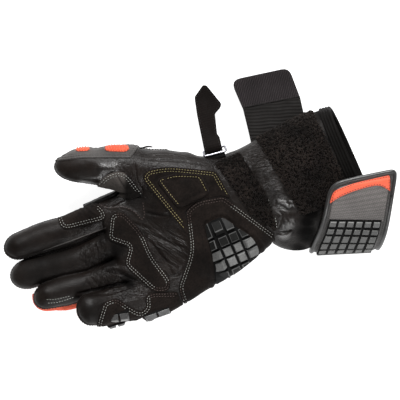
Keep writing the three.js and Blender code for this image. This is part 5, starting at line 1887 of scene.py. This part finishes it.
def make_binding():
    """Stacked bands outside the mouth, and a lip that turns over its edge into the cuff."""
    up = np.cross([0, 1.0, 0], MOUTH_AXIS)
    angles = np.linspace(0, 2 * np.pi, 260, endpoint=False)
    bands, turn = np.linspace(-BAND_REACH, 0.4, 40), [0.9, 1.0, 0.6]
    depths = np.concatenate([bands, turn, np.linspace(0, -LIP_DEPTH, 14)])
    ridges = np.abs(np.sin(np.pi * (depths + BAND_REACH) / BAND_PITCH)) ** 0.5
    rings = []
    for number, (depth, ridge) in enumerate(zip(depths, ridges)):
        if number >= len(bands) + len(turn):
            offset = -WALL - 0.9
        elif depth > 0.5:
            offset = -0.6
        else:
            offset = 0.5 + 1.2 * ridge if depth < 0 else 0.6
        centre = MOUTH + np.array([0, CUFF_MIDDLE, 0]) + MOUTH_AXIS * (min(depth, 0) - 0.02)
        ring = []
        for angle in angles:
            direction = np.array([0, math.cos(angle), 0]) + up * math.sin(angle)
            hit, normal, _, _ = cuff_tree.ray_cast(Vector(centre), Vector(direction))
            ring.append(np.array(hit) + np.array(normal) * offset + MOUTH_AXIS * max(depth, 0))
        rings.append(np.array(ring))
    points = np.vstack(rings)
    points[:, 2] = np.maximum(points[:, 2], 0)
    return points, np.concatenate(ring_walls(len(angles), len(rings), closed=True))


add_body("mouth_binding", make_binding(), BINDING_LEATHER, "black_leather", ["cuff_binding"])


# Thread

# Seams that are only stitched, seen from above: thread and points.
HAND_SEAMS = [
    ("dim", [(-114, 36.7), (-107.5, 29.9), (-95, 25.2), (-87.7, 17.3), (-84.6, 9.3), (-80.9, 11.6),
             (-77.6, 22.3)]),
    ("pale", [(-188.4, -21.9), (-180.6, -24.9), (-168.4, -27.3)]),
    ("pale", [(-188.8, -25.1), (-179.7, -28.1), (-165.6, -29.5)]),
    ("dark", [(-65, 57.8), (-51.7, 51.4), (-30.9, 41), (-14, 29)]),
    ("dark", [(-62, 60.6), (-44, 54), (-29, 45), (-12, 33)]),
]
# On the cuff, also whether they are sewn there and back.
CUFF_SEAMS = [
    ("dark", [(25.8, 26.7), (29.2, 8.2), (31.9, -13.9), (32.8, -31.4)], False),
    ("pale", [(23.2, -18.6), (22.6, -22.2), (22, -25.7)], True),
    ("pale", [(22.1, -35.2), (21.6, -38.8), (19.9, -44.7)], True),
]
for thread, line in HAND_SEAMS:
    sew_plan(smooth_path(line), hand_tree, thread)
for line in SEAM_LINES:
    sew_near(line, hand_tree, "dark")
for thread, line, closed in CUFF_SEAMS:
    sew_plan(smooth_path(line), cuff_tree, thread, closed)


def make_cord(name, path, thin, thick, material):
    """A thin cord along a path in space, tapering to both ends."""
    radii = thin + (thick - thin) * np.sqrt(np.sin(np.linspace(0, np.pi, len(path))))
    add_body(name, stack(tube_rings(path, radii, 6)), material, "black_leather")


SEAM_TAIL = [(-62.5, 66, 36), (-58, 65.4, 37.5), (-54, 64.6, 38.5), (-50.5, 62.5, 38.8)]
make_cord("seam_tail", smooth_path(SEAM_TAIL, 5), 0.25, 0.8, EDGE_LEATHER)
HOOK_SEAM = np.array([(35.3, 63), (52, 59.4), (68, 55.9), (84.6, 52.2)])
seam_height = height_at(TAB_PROFILE, HOOK_SEAM[:, 1]) + WEBBING_THICKNESS / 2 + 0.15
make_cord("hook_seam", smooth_path(np.column_stack([HOOK_SEAM, seam_height])), 0.2, 0.32, BINDING_LEATHER)
# Painted highlight: a cord of lighter grey leather along the edge of the index finger's palm-side panel
# stands for the light that edge catches.
PANEL_EDGE = [(-175, 18.3), (-162, 17.4), (-149.3, 16.5), (-132, 15.6), (-116, 14.8)]
found = [dropped(hand_tree, x, y)[0] for x, y in smooth_path(PANEL_EDGE, 12)]
make_cord("panel_edge", np.array([list(hit) for hit in found if hit is not None]), 0.2, 0.5, GREY_LEATHER)

# A stitch as six-sided rings: place along it, radius and height.
STITCH_RINGS = ((-0.7, 0.08, -0.2), (-0.5, 0.18, 0.0), (0, 0.21, 0.04), (0.5, 0.18, 0.0), (0.7, 0.08, -0.2))
stitch_angles = np.arange(6) * np.pi / 3
STITCH, STITCH_TRIS = outward_faces(*stack([
    np.column_stack([np.full(6, x), r * np.cos(stitch_angles), z + r * np.sin(stitch_angles)])
    for x, r, z in STITCH_RINGS
]))
THREADS = {"pale": WHITE_THREAD, "yellow": YELLOW_THREAD, "dim": DIM_THREAD, "dark": DARK_THREAD}
for thread, material in THREADS.items():
    places, headings, normals = np.array(threads[thread]).transpose(1, 0, 2)
    points, faces = scatter(STITCH, STITCH_TRIS, places + normals * 0.12, normals, headings)
    add_mesh(thread + "_stitches", points, faces, material, "black_leather")

print("\n".join(report))
